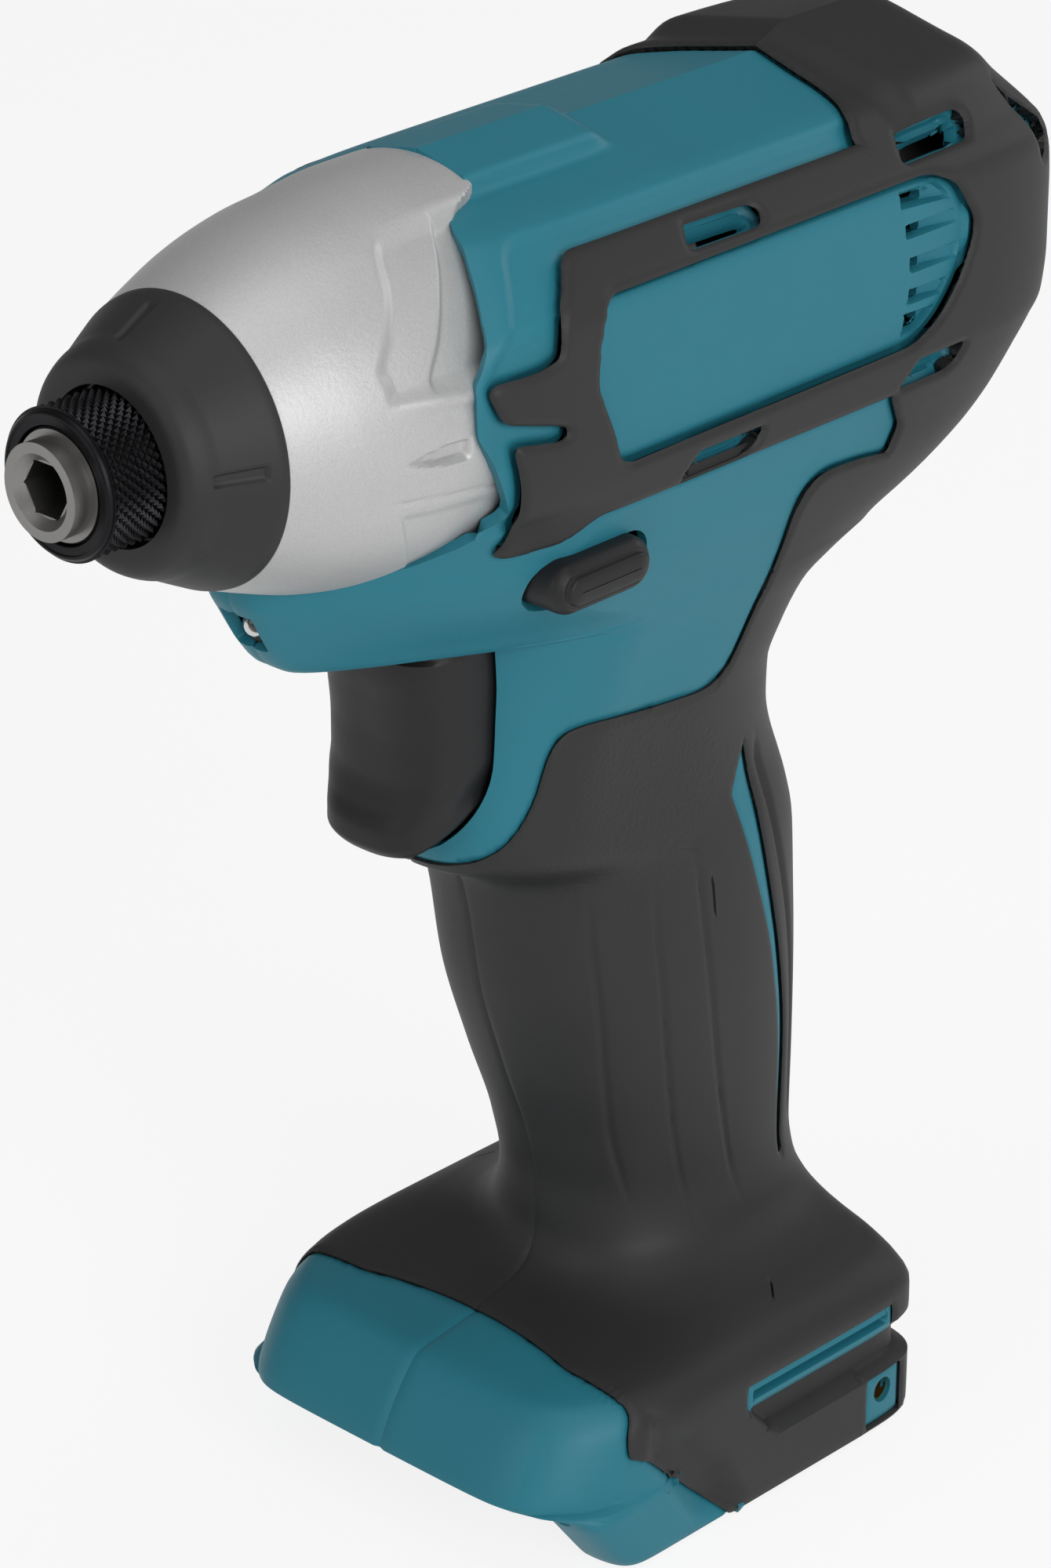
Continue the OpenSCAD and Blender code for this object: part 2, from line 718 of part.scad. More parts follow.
groove_d = 0.5;
module snap_ring() color(steel) placed()
  tube(y_washer - ring_t, y_washer, anvil_r + 0.8, anvil_r - groove_d);

// Balls that lock the bit
ball_in = 2.75;
module at_balls() for (side = [0, 180]) rotate([0, side, 0])
  translate([ball_in + ball_r, y_ball, 0]) children();
module bit_balls() color(steel) placed() at_balls() sphere(r = ball_r);

// Anvil with its hex socket, two wings and the pilot bore of the spindle
wing_r = hammer_r - 2.4;
wing_w = 11;
pilot_r = 4;
pilot_l = 7;
y_wing_end = y_wing + wing_t;
socket_r = bit_af / 2 / cos(30);
module anvil() color(steel) placed() difference() {
  union() {
    bar(0, y_wing + 1, anvil_r);
    bar(y_wing, y_wing_end, anvil_r + 1.6);
    intersection() {
      bar(y_wing, y_wing_end, wing_r);
      translate([-wing_r, y_wing - 1, -wing_w / 2]) cube([2 * wing_r, wing_t + 2, wing_w]);
    }
  }
  along_y(-1) cylinder(h = bit_depth + 1, r = socket_r, $fn = 6);
  along_y(-lap) cylinder(h = 1.1 + lap, r1 = socket_r + 0.9 + lap, r2 = socket_r - 0.2);
  bar(y_wing_end - pilot_l - 1, y_wing_end + 1, pilot_r + run);
  tube(y_washer - ring_t, y_washer, anvil_r + 1, anvil_r - groove_d);
  at_balls() rotate([0, 90, 0]) cylinder(h = 2 * ball_r + 4, r = ball_r + run, center = true);
}

module anvil_bush() color(brass) placed() tube(y_nose, y_cavity, bush_r, anvil_r + run);

module anvil_washer() color(steel) placed()
  tube(y_cavity, y_wing - run, anvil_r + 6, anvil_r + fit);

// Hammer with two front lugs, ball grooves and the spring's pocket
lug_w = 10;
cam_ball_r = 2.2;
y_cam = y_hammer + 9;
pocket_r = spindle_r + 2.6;
skirt_r = hammer_r - 3;
module hammer() color(steel) placed() difference() {
  union() {
    bar(y_hammer, y_hammer_end, hammer_r);
    intersection() {
      tube(y_hammer - lug_len, y_hammer + 1, hammer_r, wing_r - 4);
      translate([-lug_w / 2, y_hammer - lug_len - 1, -hammer_r]) cube([lug_w, lug_len + 3, 2 * hammer_r]);
    }
  }
  bar(y_hammer - 9, y_hammer_end + 1, spindle_r + run);
  tube(y_hammer_end - hammer_pocket, y_hammer_end + 1, skirt_r, pocket_r);
  at_cam_balls() along_y(-hammer_travel - cam_ball_r - fit)
    cylinder(h = hammer_travel + 2 * cam_ball_r + 2 * fit, r = cam_ball_r + run);
}
module at_cam_balls() for (side = [45, 225]) rotate([0, side, 0])
  translate([spindle_r, y_cam, 0]) children();

spring_wire = 1.3;
module hammer_spring() color(steel) placed()
  coil((pocket_r + skirt_r) / 2, spring_wire, y_hammer_end - hammer_pocket,
    y_carrier - carrier_flange, 4, 16);

module spring_washer() color(steel) placed()
  tube(y_carrier - carrier_flange, y_carrier, skirt_r - 0.4, spindle_r);

module hammer_balls() color(steel) placed() at_cam_balls() sphere(r = cam_ball_r);

// Spindle: shaft, planet carrier and rear journal in one piece
sun_room = sun_r + gear_module * addendum + 0.4;
post_r = 1.7;
module spindle() color(steel) placed() difference() {
  union() {
    bar(y_wing_end - pilot_l, y_wing_end + 1, pilot_r);
    bar(y_wing_end + 0.4, y_carrier + 1, spindle_r);
    bar(y_carrier, y_carrier + plate_t, carrier_r);
    bar(y_plate, y_plate + plate_t, carrier_r);
    around(3, 60) translate([carrier_r - post_r - 0.2, 0, 0]) bar(y_carrier + 1, y_plate + 1, post_r);
    bar(y_plate, y_bracket - 0.4, journal_r);
  }
  bar(y_gear - 1.4, y_bracket, sun_room);
  at_cam_balls() sphere(r = cam_ball_r);
  around(3) translate([orbit_r, 0, 0]) bar(y_carrier - 1, y_plate + plate_t + 1, pin_r);
}

// Involute gear outline: n teeth, tips at a + and roots at d - from the pitch line, flanks moved by b
flank_steps = 4;
function involute(angle) = tan(angle) * 180 / PI - angle;
function flank_angle(r, n, b) =
  let (rp = gear_module * n / 2, rb = rp * cos(pressure))
  90 / n + involute(pressure) - involute(acos(min(1, rb / max(r, rb)))) + b / rp * 180 / PI;
function gear_outline(n, a, d, b) =
  let (rp = gear_module * n / 2, r0 = rp - d * gear_module, r1 = rp + a * gear_module)
  [for (i = [0 : n - 1], k = [0 : 2 * flank_steps + 1])
    let (
      up = k <= flank_steps,
      r = r0 + (r1 - r0) * (up ? k : 2 * flank_steps + 1 - k) / flank_steps,
      q = 360 * i / n + (up ? -1 : 1) * max(flank_angle(r, n, b), 12 / n)
    )
    [r * cos(q), r * sin(q)]];

// Planet gear at one of the three places round the sun
module planet(i) color(steel) placed()
  rotate([0, 120 * i, 0]) translate([orbit_r, 0, 0]) along_y(y_gear) difference() {
    linear_extrude(gear_w) polygon(gear_outline(planet_n, addendum, dedendum, -backlash));
    translate([0, 0, -1]) cylinder(h = gear_w + 2, r = pin_r + run);
  }
module planet_gear_1() planet(0);
module planet_gear_2() planet(1);
module planet_gear_3() planet(2);

module planet_pins() color(steel) placed() around(3) translate([orbit_r, 0, 0])
  bar(y_carrier, y_plate + plate_t, pin_r);

// Ring gear, held in the hammer case
module ring_gear() color(steel) placed() along_y(y_gear - 0.2) difference() {
  cylinder(h = gear_w + 0.4, r = case_bore_r);
  translate([0, 0, -lap]) linear_extrude(gear_w + 3 * lap)
    polygon(gear_outline(ring_n, dedendum, addendum, backlash));
}

// Cover that closes the rear of the hammer case and holds the spindle's bearing
bearing_w = 5;
module gear_cover() color(silver) placed() difference() {
  union() {
    bar(y_cover, y_spigot_end + lap, case_bore_r);
    bar(y_spigot_end, y_bracket, spigot_r);
  }
  bar(y_cover - 1, y_bracket + 1, journal_r + 1.4);
  bar(y_bracket - bearing_w, y_bracket + 1, bearing_r);
  at_bracket_screws() cylinder(h = 20, r = bracket_screw_r, center = true);
}

// Ball bearing with two rings and its balls
module bearing(y0, y1, r_out, r_in) {
  mid = (r_out + r_in) / 2;
  race = (r_out - r_in) / 4;
  difference() {
    tube(y0, y1, r_out, mid + race * 0.4);
    bearing_race(y0, y1, mid, race);
  }
  difference() {
    tube(y0, y1, mid - race * 0.4, r_in);
    bearing_race(y0, y1, mid, race);
  }
  around(8) translate([mid, (y0 + y1) / 2, 0]) sphere(r = race);
}
module bearing_race(y0, y1, mid, race)
  along_y((y0 + y1) / 2) rotate_extrude() translate([mid, 0]) circle(r = race + run);

module spindle_bearing() color(steel) placed()
  bearing(y_bracket - bearing_w, y_bracket - fit, bearing_r, journal_r + run);

module pinion() color(steel) placed() along_y(y_gear - 0.2) difference() {
  linear_extrude(gear_w + 2) polygon(gear_outline(sun_n, addendum, dedendum, -backlash));
  translate([0, 0, -1]) cylinder(h = gear_w + 4, r = shaft_r);
}

module motor_shaft() color(steel) placed() bar(y_gear - 0.6, y_holder_end - 0.4, shaft_r);

// Plate between the gears and the motor, with air holes and the front bush
bracket_screw_r = 1.25;
bracket_head_r = 2.3;
motor_bush_r = shaft_r + 2;
bracket_screw_x = motor_r - 4;
module at_bracket_screws() for (side = [0, 180]) rotate([0, side, 0])
  along_y(y_bracket) translate([bracket_screw_x, 0, 0]) children();
module motor_bracket() color(silver) placed() difference() {
  bar(y_bracket, y_bracket + bracket_t, motor_r);
  bar(y_bracket - 1, y_bracket + bracket_t + 1, motor_bush_r);
  around(4, 45) translate([motor_r - 6.4, 0, 0]) bar(y_bracket - 1, y_bracket + bracket_t + 1, 2.6);
  at_bracket_screws() cylinder(h = 20, r = bracket_screw_r, center = true);
}
module bracket_screws() color(steel) placed() at_bracket_screws() {
  translate([0, 0, bracket_t]) cylinder(h = 0.8, r = bracket_head_r);
  translate([0, 0, -3]) cylinder(h = 3 + bracket_t + lap / 2, r = bracket_screw_r);
}
module front_motor_bush() color(brass) placed()
  tube(y_bracket, y_bracket + bracket_t, motor_bush_r, shaft_r + run);

// Cooling fan on the motor shaft
fan_r = motor_r - 2;
blade_n = 11;
module fan() color(dark) placed() {
  tube(y_fan, y_fan + fan_t, 4.6, shaft_r);
  tube(y_fan + fan_t - 1.2, y_fan + fan_t, fan_r, shaft_r);
  difference() {
    around(blade_n) translate([4, y_fan + 0.4, -0.5]) cube([fan_r - 5, fan_t - 1, 1]);
    bar(y_fan - 1, y_fan + fan_t + 1, shaft_r);
  }
}

module motor_can() color(steel) placed() tube(y_can, y_can_end, motor_r, magnet_r);

// Two arc magnets inside the can
module magnets() color(dark) placed() difference() {
  tube(y_can + 1, y_can_end - 1, magnet_r, magnet_r - magnet_t);
  translate([-4, y_can, -motor_r]) cube([8, can_len, 2 * motor_r]);
}

// Slotted core of the rotor
slot_n = 10;
core_y0 = y_can + 6;
core_y1 = y_can_end - 8;
module armature() color(steel) placed() difference() {
  tube(core_y0, core_y1, rotor_r, shaft_r);
  around(slot_n) translate([rotor_r - 1.6, core_y0 - 1, -0.6]) cube([3, core_y1 - core_y0 + 2, 1.2]);
  around(slot_n) translate([rotor_r - 2.6, 0, 0]) bar(core_y0 - 1, core_y1 + 1, 1.5);
}

// Copper end turns at both ends of the core
turn_l = 4;
module end_turn(y0, y1) turned([
  [shaft_r + 1.4, y0], [rotor_r - 1.4, y0], [rotor_r - 1.6, (y0 + y1) / 2],
  [rotor_r - 3.2, y1], [shaft_r + 1.4, y1]
]);
module windings() color(copper) placed() {
  end_turn(core_y1, core_y1 + turn_l);
  end_turn(core_y0, core_y0 - turn_l);
}

// Commutator with its bars
comm_y0 = y_can_end - 2;
comm_y1 = y_can_end + 6;
module commutator() color(copper) placed() difference() {
  tube(comm_y0, comm_y1, comm_r, shaft_r);
  around(slot_n) translate([comm_r - 0.6, comm_y0 + 1.4, -0.2]) cube([1.4, comm_y1 - comm_y0, 0.4]);
}

// Plastic cup behind the motor that holds the brushes and the rear bearing
brush_w = 4;
brush_h = 5;
brush_y = y_can_end + 1.6;
cup_t = 2;
rear_bearing_r = 5.5;
rear_bearing_w = 4;
module brush_pair() for (side = [0, 180]) rotate([0, side, 0])
  translate([comm_r + run, brush_y, -brush_h / 2]) cube([holder_r - comm_r - cup_t, brush_w, brush_h]);
module brush_holder() color(dark) placed() difference() {
  union() {
    tube(y_can_end, y_can_end + cup_t, motor_r, holder_r - cup_t);
    tube(y_can_end, y_holder_end, holder_r, holder_r - cup_t);
    bar(y_holder_end - rear_bearing_w - 0.6, y_holder_end, holder_r);
    difference() {
      translate([-holder_r + 1, y_can_end + 0.4, -brush_h / 2 - 1.2])
        cube([2 * holder_r - 2, brush_w + 2.4, brush_h + 2.4]);
      bar(y_can_end - 1, y_holder_end, comm_r + 1);
    }
  }
  brush_pair();
  bar(y_can_end - 2, y_holder_end + 1, shaft_r + 1);
  bar(y_holder_end - rear_bearing_w, y_holder_end + 1, rear_bearing_r);
}
module brushes() color(dark) placed() brush_pair();
module rear_motor_bearing() color(steel) placed()
  bearing(y_holder_end - rear_bearing_w, y_holder_end - 0.2, rear_bearing_r, shaft_r + run);

// Switch in the handle, with the bore of the trigger's plunger
switch_w = 17;
switch_l = 28;
switch_z0 = guard_z + 3;
switch_z1 = jaw_bottom - 2;
plunger = 5;
plunger_z = (switch_z0 + switch_z1) / 2;
y_switch = slot_back + 0.4;
module switch_body() color(dark) placed() difference() {
  translate([-switch_w / 2, y_switch, switch_z0]) cube([switch_w, switch_l, switch_z1 - switch_z0]);
  along_y(y_switch - 1) translate([0, -plunger_z, 0]) cylinder(h = 18, r = plunger / 2 + 0.1);
}

// Trigger with its curved finger face and round plunger
trigger_back = slot_back - trigger_travel - 0.5;
trigger_bottom = guard_z + 2.4;
trigger_face = [
  [trigger_front - 1.6, trigger_top], [trigger_front + 0.2, -38], [trigger_front + 1.5, -43],
  [trigger_front + 1.8, -48], [trigger_front + 0.9, -53], [trigger_front - 0.5, -57],
  [trigger_front - 0.4, -59.4], [trigger_front + 1.2, -61.4], [trigger_front + 4, trigger_bottom],
  [trigger_back, trigger_bottom], [trigger_back, trigger_top]
];
module trigger() color(dark) placed() {
  side_area(trigger_face, -trigger_w / 2, trigger_w / 2);
  along_y(trigger_back - lap) translate([0, -plunger_z, 0])
    cylinder(h = y_switch - trigger_back + lap + 5, r = plunger / 2);
}
trigger_wire = 0.4;
module trigger_spring() color(steel) placed() translate([0, 0, plunger_z])
  coil(plunger / 2 + 1.2, trigger_wire, trigger_back, y_switch, 4, 14);

// Direction lever: a bar through the handle with a button at each end
lever_reach = 28.4;
button_x = 16.6 + lever_travel;
button_l = lever_reach - button_x;
straight = lever_len - lever_h;
lever_bar_y = y_spigot + 0.6;
lever_bar_h = lever_h / 2 - lever_z - spigot_r - 0.5;
module direction_lever() color(dark) placed() {
  translate([-button_x - lap, lever_bar_y, lever_z - lever_h / 2])
    cube([2 * (button_x + lap), lever_y + straight / 2 - lever_bar_y, lever_bar_h]);
  for (side = [0, 1]) mirror([side, 0, 0]) translate([button_x, lever_y, lever_z]) rotate([0, 90, 0]) {
    for (e = [-1, 1]) translate([0, e * straight / 2, 0]) cylinder(h = button_l, r = lever_h / 2);
    translate([-lever_h / 2, -straight / 2, 0]) cube([lever_h, straight, button_l]);
  }
}

// Work lamp in the jaw and its holder
y_lamp_tip = jaw_front + 0.8;
module led_lamp() color("white") placed() along_y(y_lamp_tip) translate([0, -lamp_z, 0]) {
  translate([0, 0, lamp_r]) cylinder(h = lamp_y + 1 - y_lamp_tip - lamp_r, r = lamp_r - 0.3);
  translate([0, 0, lamp_r]) sphere(r = lamp_r - 0.3);
}
module led_holder() color(dark) placed()
  translate([-holder_w / 2, lamp_y + 1, lamp_z - 4 + fit]) cube([holder_w, holder_l - 1 - fit, 7 - 2 * fit]);

// Terminal block over the battery bay, with three contact blades
blade_t = 0.8;
blade_h = 5;
blade_l = 14;
module terminal_block() color(dark) placed() difference() {
  translate([-block_w / 2 + fit, block_y + fit, bay_top - block_drop])
    cube([block_w - 2 * fit, block_l - 2 * fit, block_top - bay_top + block_drop]);
  contact_blades();
}
module contact_blades() for (x = [-8, 0, 8])
  translate([x - blade_t / 2, block_y + 4, bay_top - block_drop - blade_h])
    cube([blade_t, blade_l, blade_h + 6]);
module battery_contacts() color(brass) placed() contact_blades();

// Threaded nuts for the belt hook, one on each side of the foot
nut_r = 3.2;
thread_r = 1.65;
module hook_nut() translate([foot_w / 2 - hook_nut_len - 1, hook_y, hook_z]) rotate([0, 90, 0])
  difference() {
    cylinder(h = hook_nut_len, r = nut_r);
    translate([0, 0, -lap]) cylinder(h = hook_nut_len + 2 * lap, r = thread_r);
  }
module hook_nut_left() color(brass) placed() hook_nut();
module hook_nut_right() color(brass) placed() mirror([1, 0, 0]) hook_nut();

// Leads between the switch and the terminal block
lead_r = 0.9;
lead_y = block_y + block_l / 2;
module switch_leads() color("firebrick") placed() for (x = [-5, 5])
  translate([x, lead_y, block_top]) cylinder(h = switch_z0 - block_top, r = lead_r);

housing_left();
housing_right();
grip_left();
grip_right();
hammer_case();
bumper();
housing_screws();
bit_sleeve();
sleeve_spring();
sleeve_washer();
snap_ring();
bit_balls();
anvil();
anvil_bush();
anvil_washer();
hammer();
hammer_spring();
spring_washer();
hammer_balls();
spindle();
planet_gear_1();
planet_gear_2();
planet_gear_3();
planet_pins();
ring_gear();
gear_cover();
spindle_bearing();
pinion();
motor_shaft();
motor_bracket();
bracket_screws();
front_motor_bush();
fan();
motor_can();
magnets();
armature();
windings();
commutator();
brush_holder();
brushes();
rear_motor_bearing();
switch_body();
trigger();
trigger_spring();
direction_lever();
led_lamp();
led_holder();
terminal_block();
battery_contacts();
hook_nut_left();
hook_nut_right();
switch_leads();
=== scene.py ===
"""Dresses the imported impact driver: moulded shells, cast case, chuck, trigger and finishes."""
import json
import math

import bpy
import numpy as np
from mathutils import Matrix, Vector


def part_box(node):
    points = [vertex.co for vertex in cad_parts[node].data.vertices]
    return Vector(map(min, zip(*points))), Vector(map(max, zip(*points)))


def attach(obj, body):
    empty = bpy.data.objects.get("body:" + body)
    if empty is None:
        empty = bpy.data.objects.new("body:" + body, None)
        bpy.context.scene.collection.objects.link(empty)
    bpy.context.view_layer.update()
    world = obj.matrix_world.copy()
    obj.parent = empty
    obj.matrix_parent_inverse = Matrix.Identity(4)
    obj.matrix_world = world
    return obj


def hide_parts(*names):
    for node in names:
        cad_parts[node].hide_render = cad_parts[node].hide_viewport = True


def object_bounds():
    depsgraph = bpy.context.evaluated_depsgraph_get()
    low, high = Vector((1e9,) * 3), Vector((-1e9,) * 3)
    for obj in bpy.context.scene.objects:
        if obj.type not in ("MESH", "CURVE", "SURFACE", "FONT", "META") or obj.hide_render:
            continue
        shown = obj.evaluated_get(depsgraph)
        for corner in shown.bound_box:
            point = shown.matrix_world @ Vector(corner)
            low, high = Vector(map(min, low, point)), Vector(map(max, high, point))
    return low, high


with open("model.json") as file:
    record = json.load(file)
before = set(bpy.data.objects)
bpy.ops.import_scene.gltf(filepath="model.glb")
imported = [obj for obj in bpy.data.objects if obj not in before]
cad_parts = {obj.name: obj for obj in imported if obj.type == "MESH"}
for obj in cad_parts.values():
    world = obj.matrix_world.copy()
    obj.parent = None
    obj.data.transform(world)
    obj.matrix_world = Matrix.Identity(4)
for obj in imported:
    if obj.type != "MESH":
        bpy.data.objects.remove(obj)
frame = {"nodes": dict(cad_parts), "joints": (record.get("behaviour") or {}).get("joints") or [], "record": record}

bl_info = {
    "name": "Impact Driver Dress",
    "version": (1, 0, 0),
    "blender": (4, 5, 0),
    "location": "View3D > Sidebar > Driver",
    "description": "Builds the visible pieces and finishes of an impact driver round its packed model",
    "category": "Object",
}

CAD_BOX = [list(corner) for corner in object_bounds()]
MM = 0.001
AXIS = next(j["pos_m"][2] for j in frame["joints"] if j["name"] == "rotor_spin") / MM
TIP = CAD_BOX[0][1] / MM


# Numbers: points are millimetres from the bit tip along y and from the bit axis in z

def to_row(points):
    """Tip-based millimetres moved to the row frame in metres."""
    return (np.asarray(points, float) + np.array([0.0, TIP, AXIS])) * MM


def smooth(t):
    """Cubic step from 0 to 1 over the unit interval."""
    t = np.clip(t, 0.0, 1.0)
    return t * t * (3.0 - 2.0 * t)


def glide(t, knots, values):
    """Monotone cubic through the knots: each inner slope is the harmonic mean of its two neighbours."""
    k = np.asarray(knots, float)
    v = np.asarray(values, float).reshape(len(k), -1)
    h = np.diff(k)[:, None]
    d = np.diff(v, axis=0) / h
    m = np.zeros_like(v)
    m[0], m[-1] = d[0], d[-1]
    same = d[1:] * d[:-1] > 0
    w1, w2 = 2 * h[1:] + h[:-1], h[1:] + 2 * h[:-1]
    before, after = np.where(same, d[:-1], 1), np.where(same, d[1:], 1)
    m[1:-1] = np.where(same, (w1 + w2) / (w1 / before + w2 / after), 0)
    t = np.clip(np.asarray(t, float), k[0], k[-1])
    i = np.clip(np.searchsorted(k, t, side="right") - 1, 0, len(k) - 2)
    span = (k[i + 1] - k[i])[..., None]
    s = (t - k[i])[..., None] / span
    out = (v[i] * (1 + 2 * s) * (1 - s) ** 2 + v[i + 1] * s * s * (3 - 2 * s)
           + span * s * (1 - s) * (m[i] * (1 - s) - m[i + 1] * s))
    return out[..., 0] if np.ndim(values) == 1 else out


def rounded(points, radius, steps=5):
    """Closed outline whose corners are quadratic arcs that start one radius from each corner."""
    p = np.asarray(points, float)
    a, b = np.roll(p, 1, axis=0) - p, np.roll(p, -1, axis=0) - p
    la, lb = np.linalg.norm(a, axis=1)[:, None], np.linalg.norm(b, axis=1)[:, None]
    r = np.broadcast_to(np.asarray(radius, float), (len(p),))[:, None]
    start = p + a / la * np.minimum(r, 0.45 * la)
    end = p + b / lb * np.minimum(r, 0.45 * lb)
    s = np.linspace(0, 1, steps)[None, :, None]
    arcs = start[:, None] * (1 - s) ** 2 + 2 * p[:, None] * s * (1 - s) + end[:, None] * s * s
    return arcs.reshape(-1, 2)


def depth_in(outline, y, z):
    """Signed distance to a closed outline in the side view, positive inside it."""
    a = np.asarray(outline, float)
    b = np.roll(a, -1, axis=0)
    e = b - a
    length = np.maximum((e * e).sum(axis=1), 1e-12)
    q = np.stack([np.ravel(y), np.ravel(z)], axis=1)
    out = np.empty(len(q))
    for block in np.array_split(np.arange(len(q)), max(1, len(q) // 6000)):
        w = q[block, None, :] - a[None]
        s = np.clip((w * e[None]).sum(axis=2) / length, 0, 1)
        gap = np.sqrt(((w - s[..., None] * e[None]) ** 2).sum(axis=2)).min(axis=1)
        over = (a[None, :, 1] > q[block, 1:2]) != (b[None, :, 1] > q[block, 1:2])
        rise = np.where(np.abs(e[:, 1]) < 1e-12, 1e-12, e[:, 1])
        at = a[None, :, 0] + (q[block, 1:2] - a[None, :, 1]) / rise[None] * e[None, :, 0]
        odd = (over & (q[block, 0:1] < at)).sum(axis=1) % 2
        out[block] = np.where(odd == 1, gap, -gap)
    return out.reshape(np.shape(y))


def deepest(outlines, y, z):
    """Signed distance to the outline that a point is deepest in."""
    return np.max([depth_in(outline, y, z) for outline in outlines], axis=0)


def grid_faces(rows, cols, wrap=False):
    """Quads of a grid of points, row by row; wrap joins the last column to the first."""
    i = np.arange(rows - 1)[:, None]
    j = np.arange(cols if wrap else cols - 1)[None, :]
    k = (j + 1) % cols
    corners = [i * cols + j, (i + 1) * cols + j, (i + 1) * cols + k, i * cols + k]
    return np.stack(corners, axis=-1).reshape(-1, 4)


def put_mesh(name, points, faces, body, nodes, crease):
    """Mesh object in the row frame from tip-based points, riding on its body and standing for its nodes.

    Edges that turn by more than the crease angle are sharp, and so are open ones.
    """
    if not len(faces):
        raise RuntimeError(f"{name} has no faces")
    used = np.unique(faces)
    index = np.full(len(points), -1)
    index[used] = np.arange(len(used))
    mesh = bpy.data.meshes.new(name)
    mesh.from_pydata(to_row(points[used]), [], index[faces].tolist())
    mesh.validate()
    mesh.polygons.foreach_set("use_smooth", np.ones(len(mesh.polygons), bool))
    mesh.set_sharp_from_angle(angle=math.radians(crease))
    sides = np.empty(len(mesh.loops), np.int32)
    mesh.loops.foreach_get("edge_index", sides)
    sharp = mesh.attributes.get("sharp_edge") or mesh.attributes.new("sharp_edge", "BOOLEAN", "EDGE")
    marked = np.zeros(len(mesh.edges), bool)
    sharp.data.foreach_get("value", marked)
    sharp.data.foreach_set("value", marked | (np.bincount(sides, minlength=len(marked)) == 1))
    piece = bpy.data.objects.new(name, mesh)
    bpy.context.collection.objects.link(piece)
    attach(piece, body)
    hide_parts(*nodes)
    return piece


def thicken(piece, wall):
    """Gives an open skin a wall behind it."""
    shell = piece.modifiers.new("wall", "SOLIDIFY")
    shell.thickness = wall * MM
    shell.offset = -1.0
    shell.use_even_offset = False
    shell.use_rim = True
    return piece


def angles(count, start=0.0):
    """Even angles once round from a start."""
    return np.linspace(start, start + 2 * np.pi, count, endpoint=False)


def turned(profile, angle):
    """Points of a profile of (station, radius) pairs turned about the bit axis, as rows of one ring each."""
    p = np.asarray(profile, float)
    y, r = p[:, :1], p[:, 1:]
    return np.stack([r * np.cos(angle), np.broadcast_to(y, (len(p), len(angle))), r * np.sin(angle)], axis=-1)


def resample(profile, step):
    """Profile with points added along its straight runs so that none is longer than step."""
    p = np.asarray(profile, float)
    count = np.maximum(1, np.ceil(np.linalg.norm(np.diff(p, axis=0), axis=1) / step).astype(int))
    shares = [np.linspace(0, 1, n, endpoint=False)[:, None] for n in count]
    runs = [a + (b - a) * share for a, b, share in zip(p, p[1:], shares)]
    return np.concatenate(runs + [p[-1:]])


def softened(profile, radius, steps=5):
    """Open profile whose inner corners are quadratic arcs."""
    p = np.asarray(profile, float)
    arcs = rounded(p, radius, steps).reshape(len(p), steps, 2)
    return np.concatenate([p[:1], arcs[1:-1].reshape(-1, 2), p[-1:]])


def drawn_in(rings, depth):
    """Rings whose points are drawn towards the bit axis by a depth each."""
    scale = 1 - depth / np.maximum(np.hypot(rings[..., 0], rings[..., 2]), 1)
    return rings * np.stack([scale, np.ones_like(scale), scale], axis=-1)


# Form of the moulded body: level outlines from the ridge down to the base

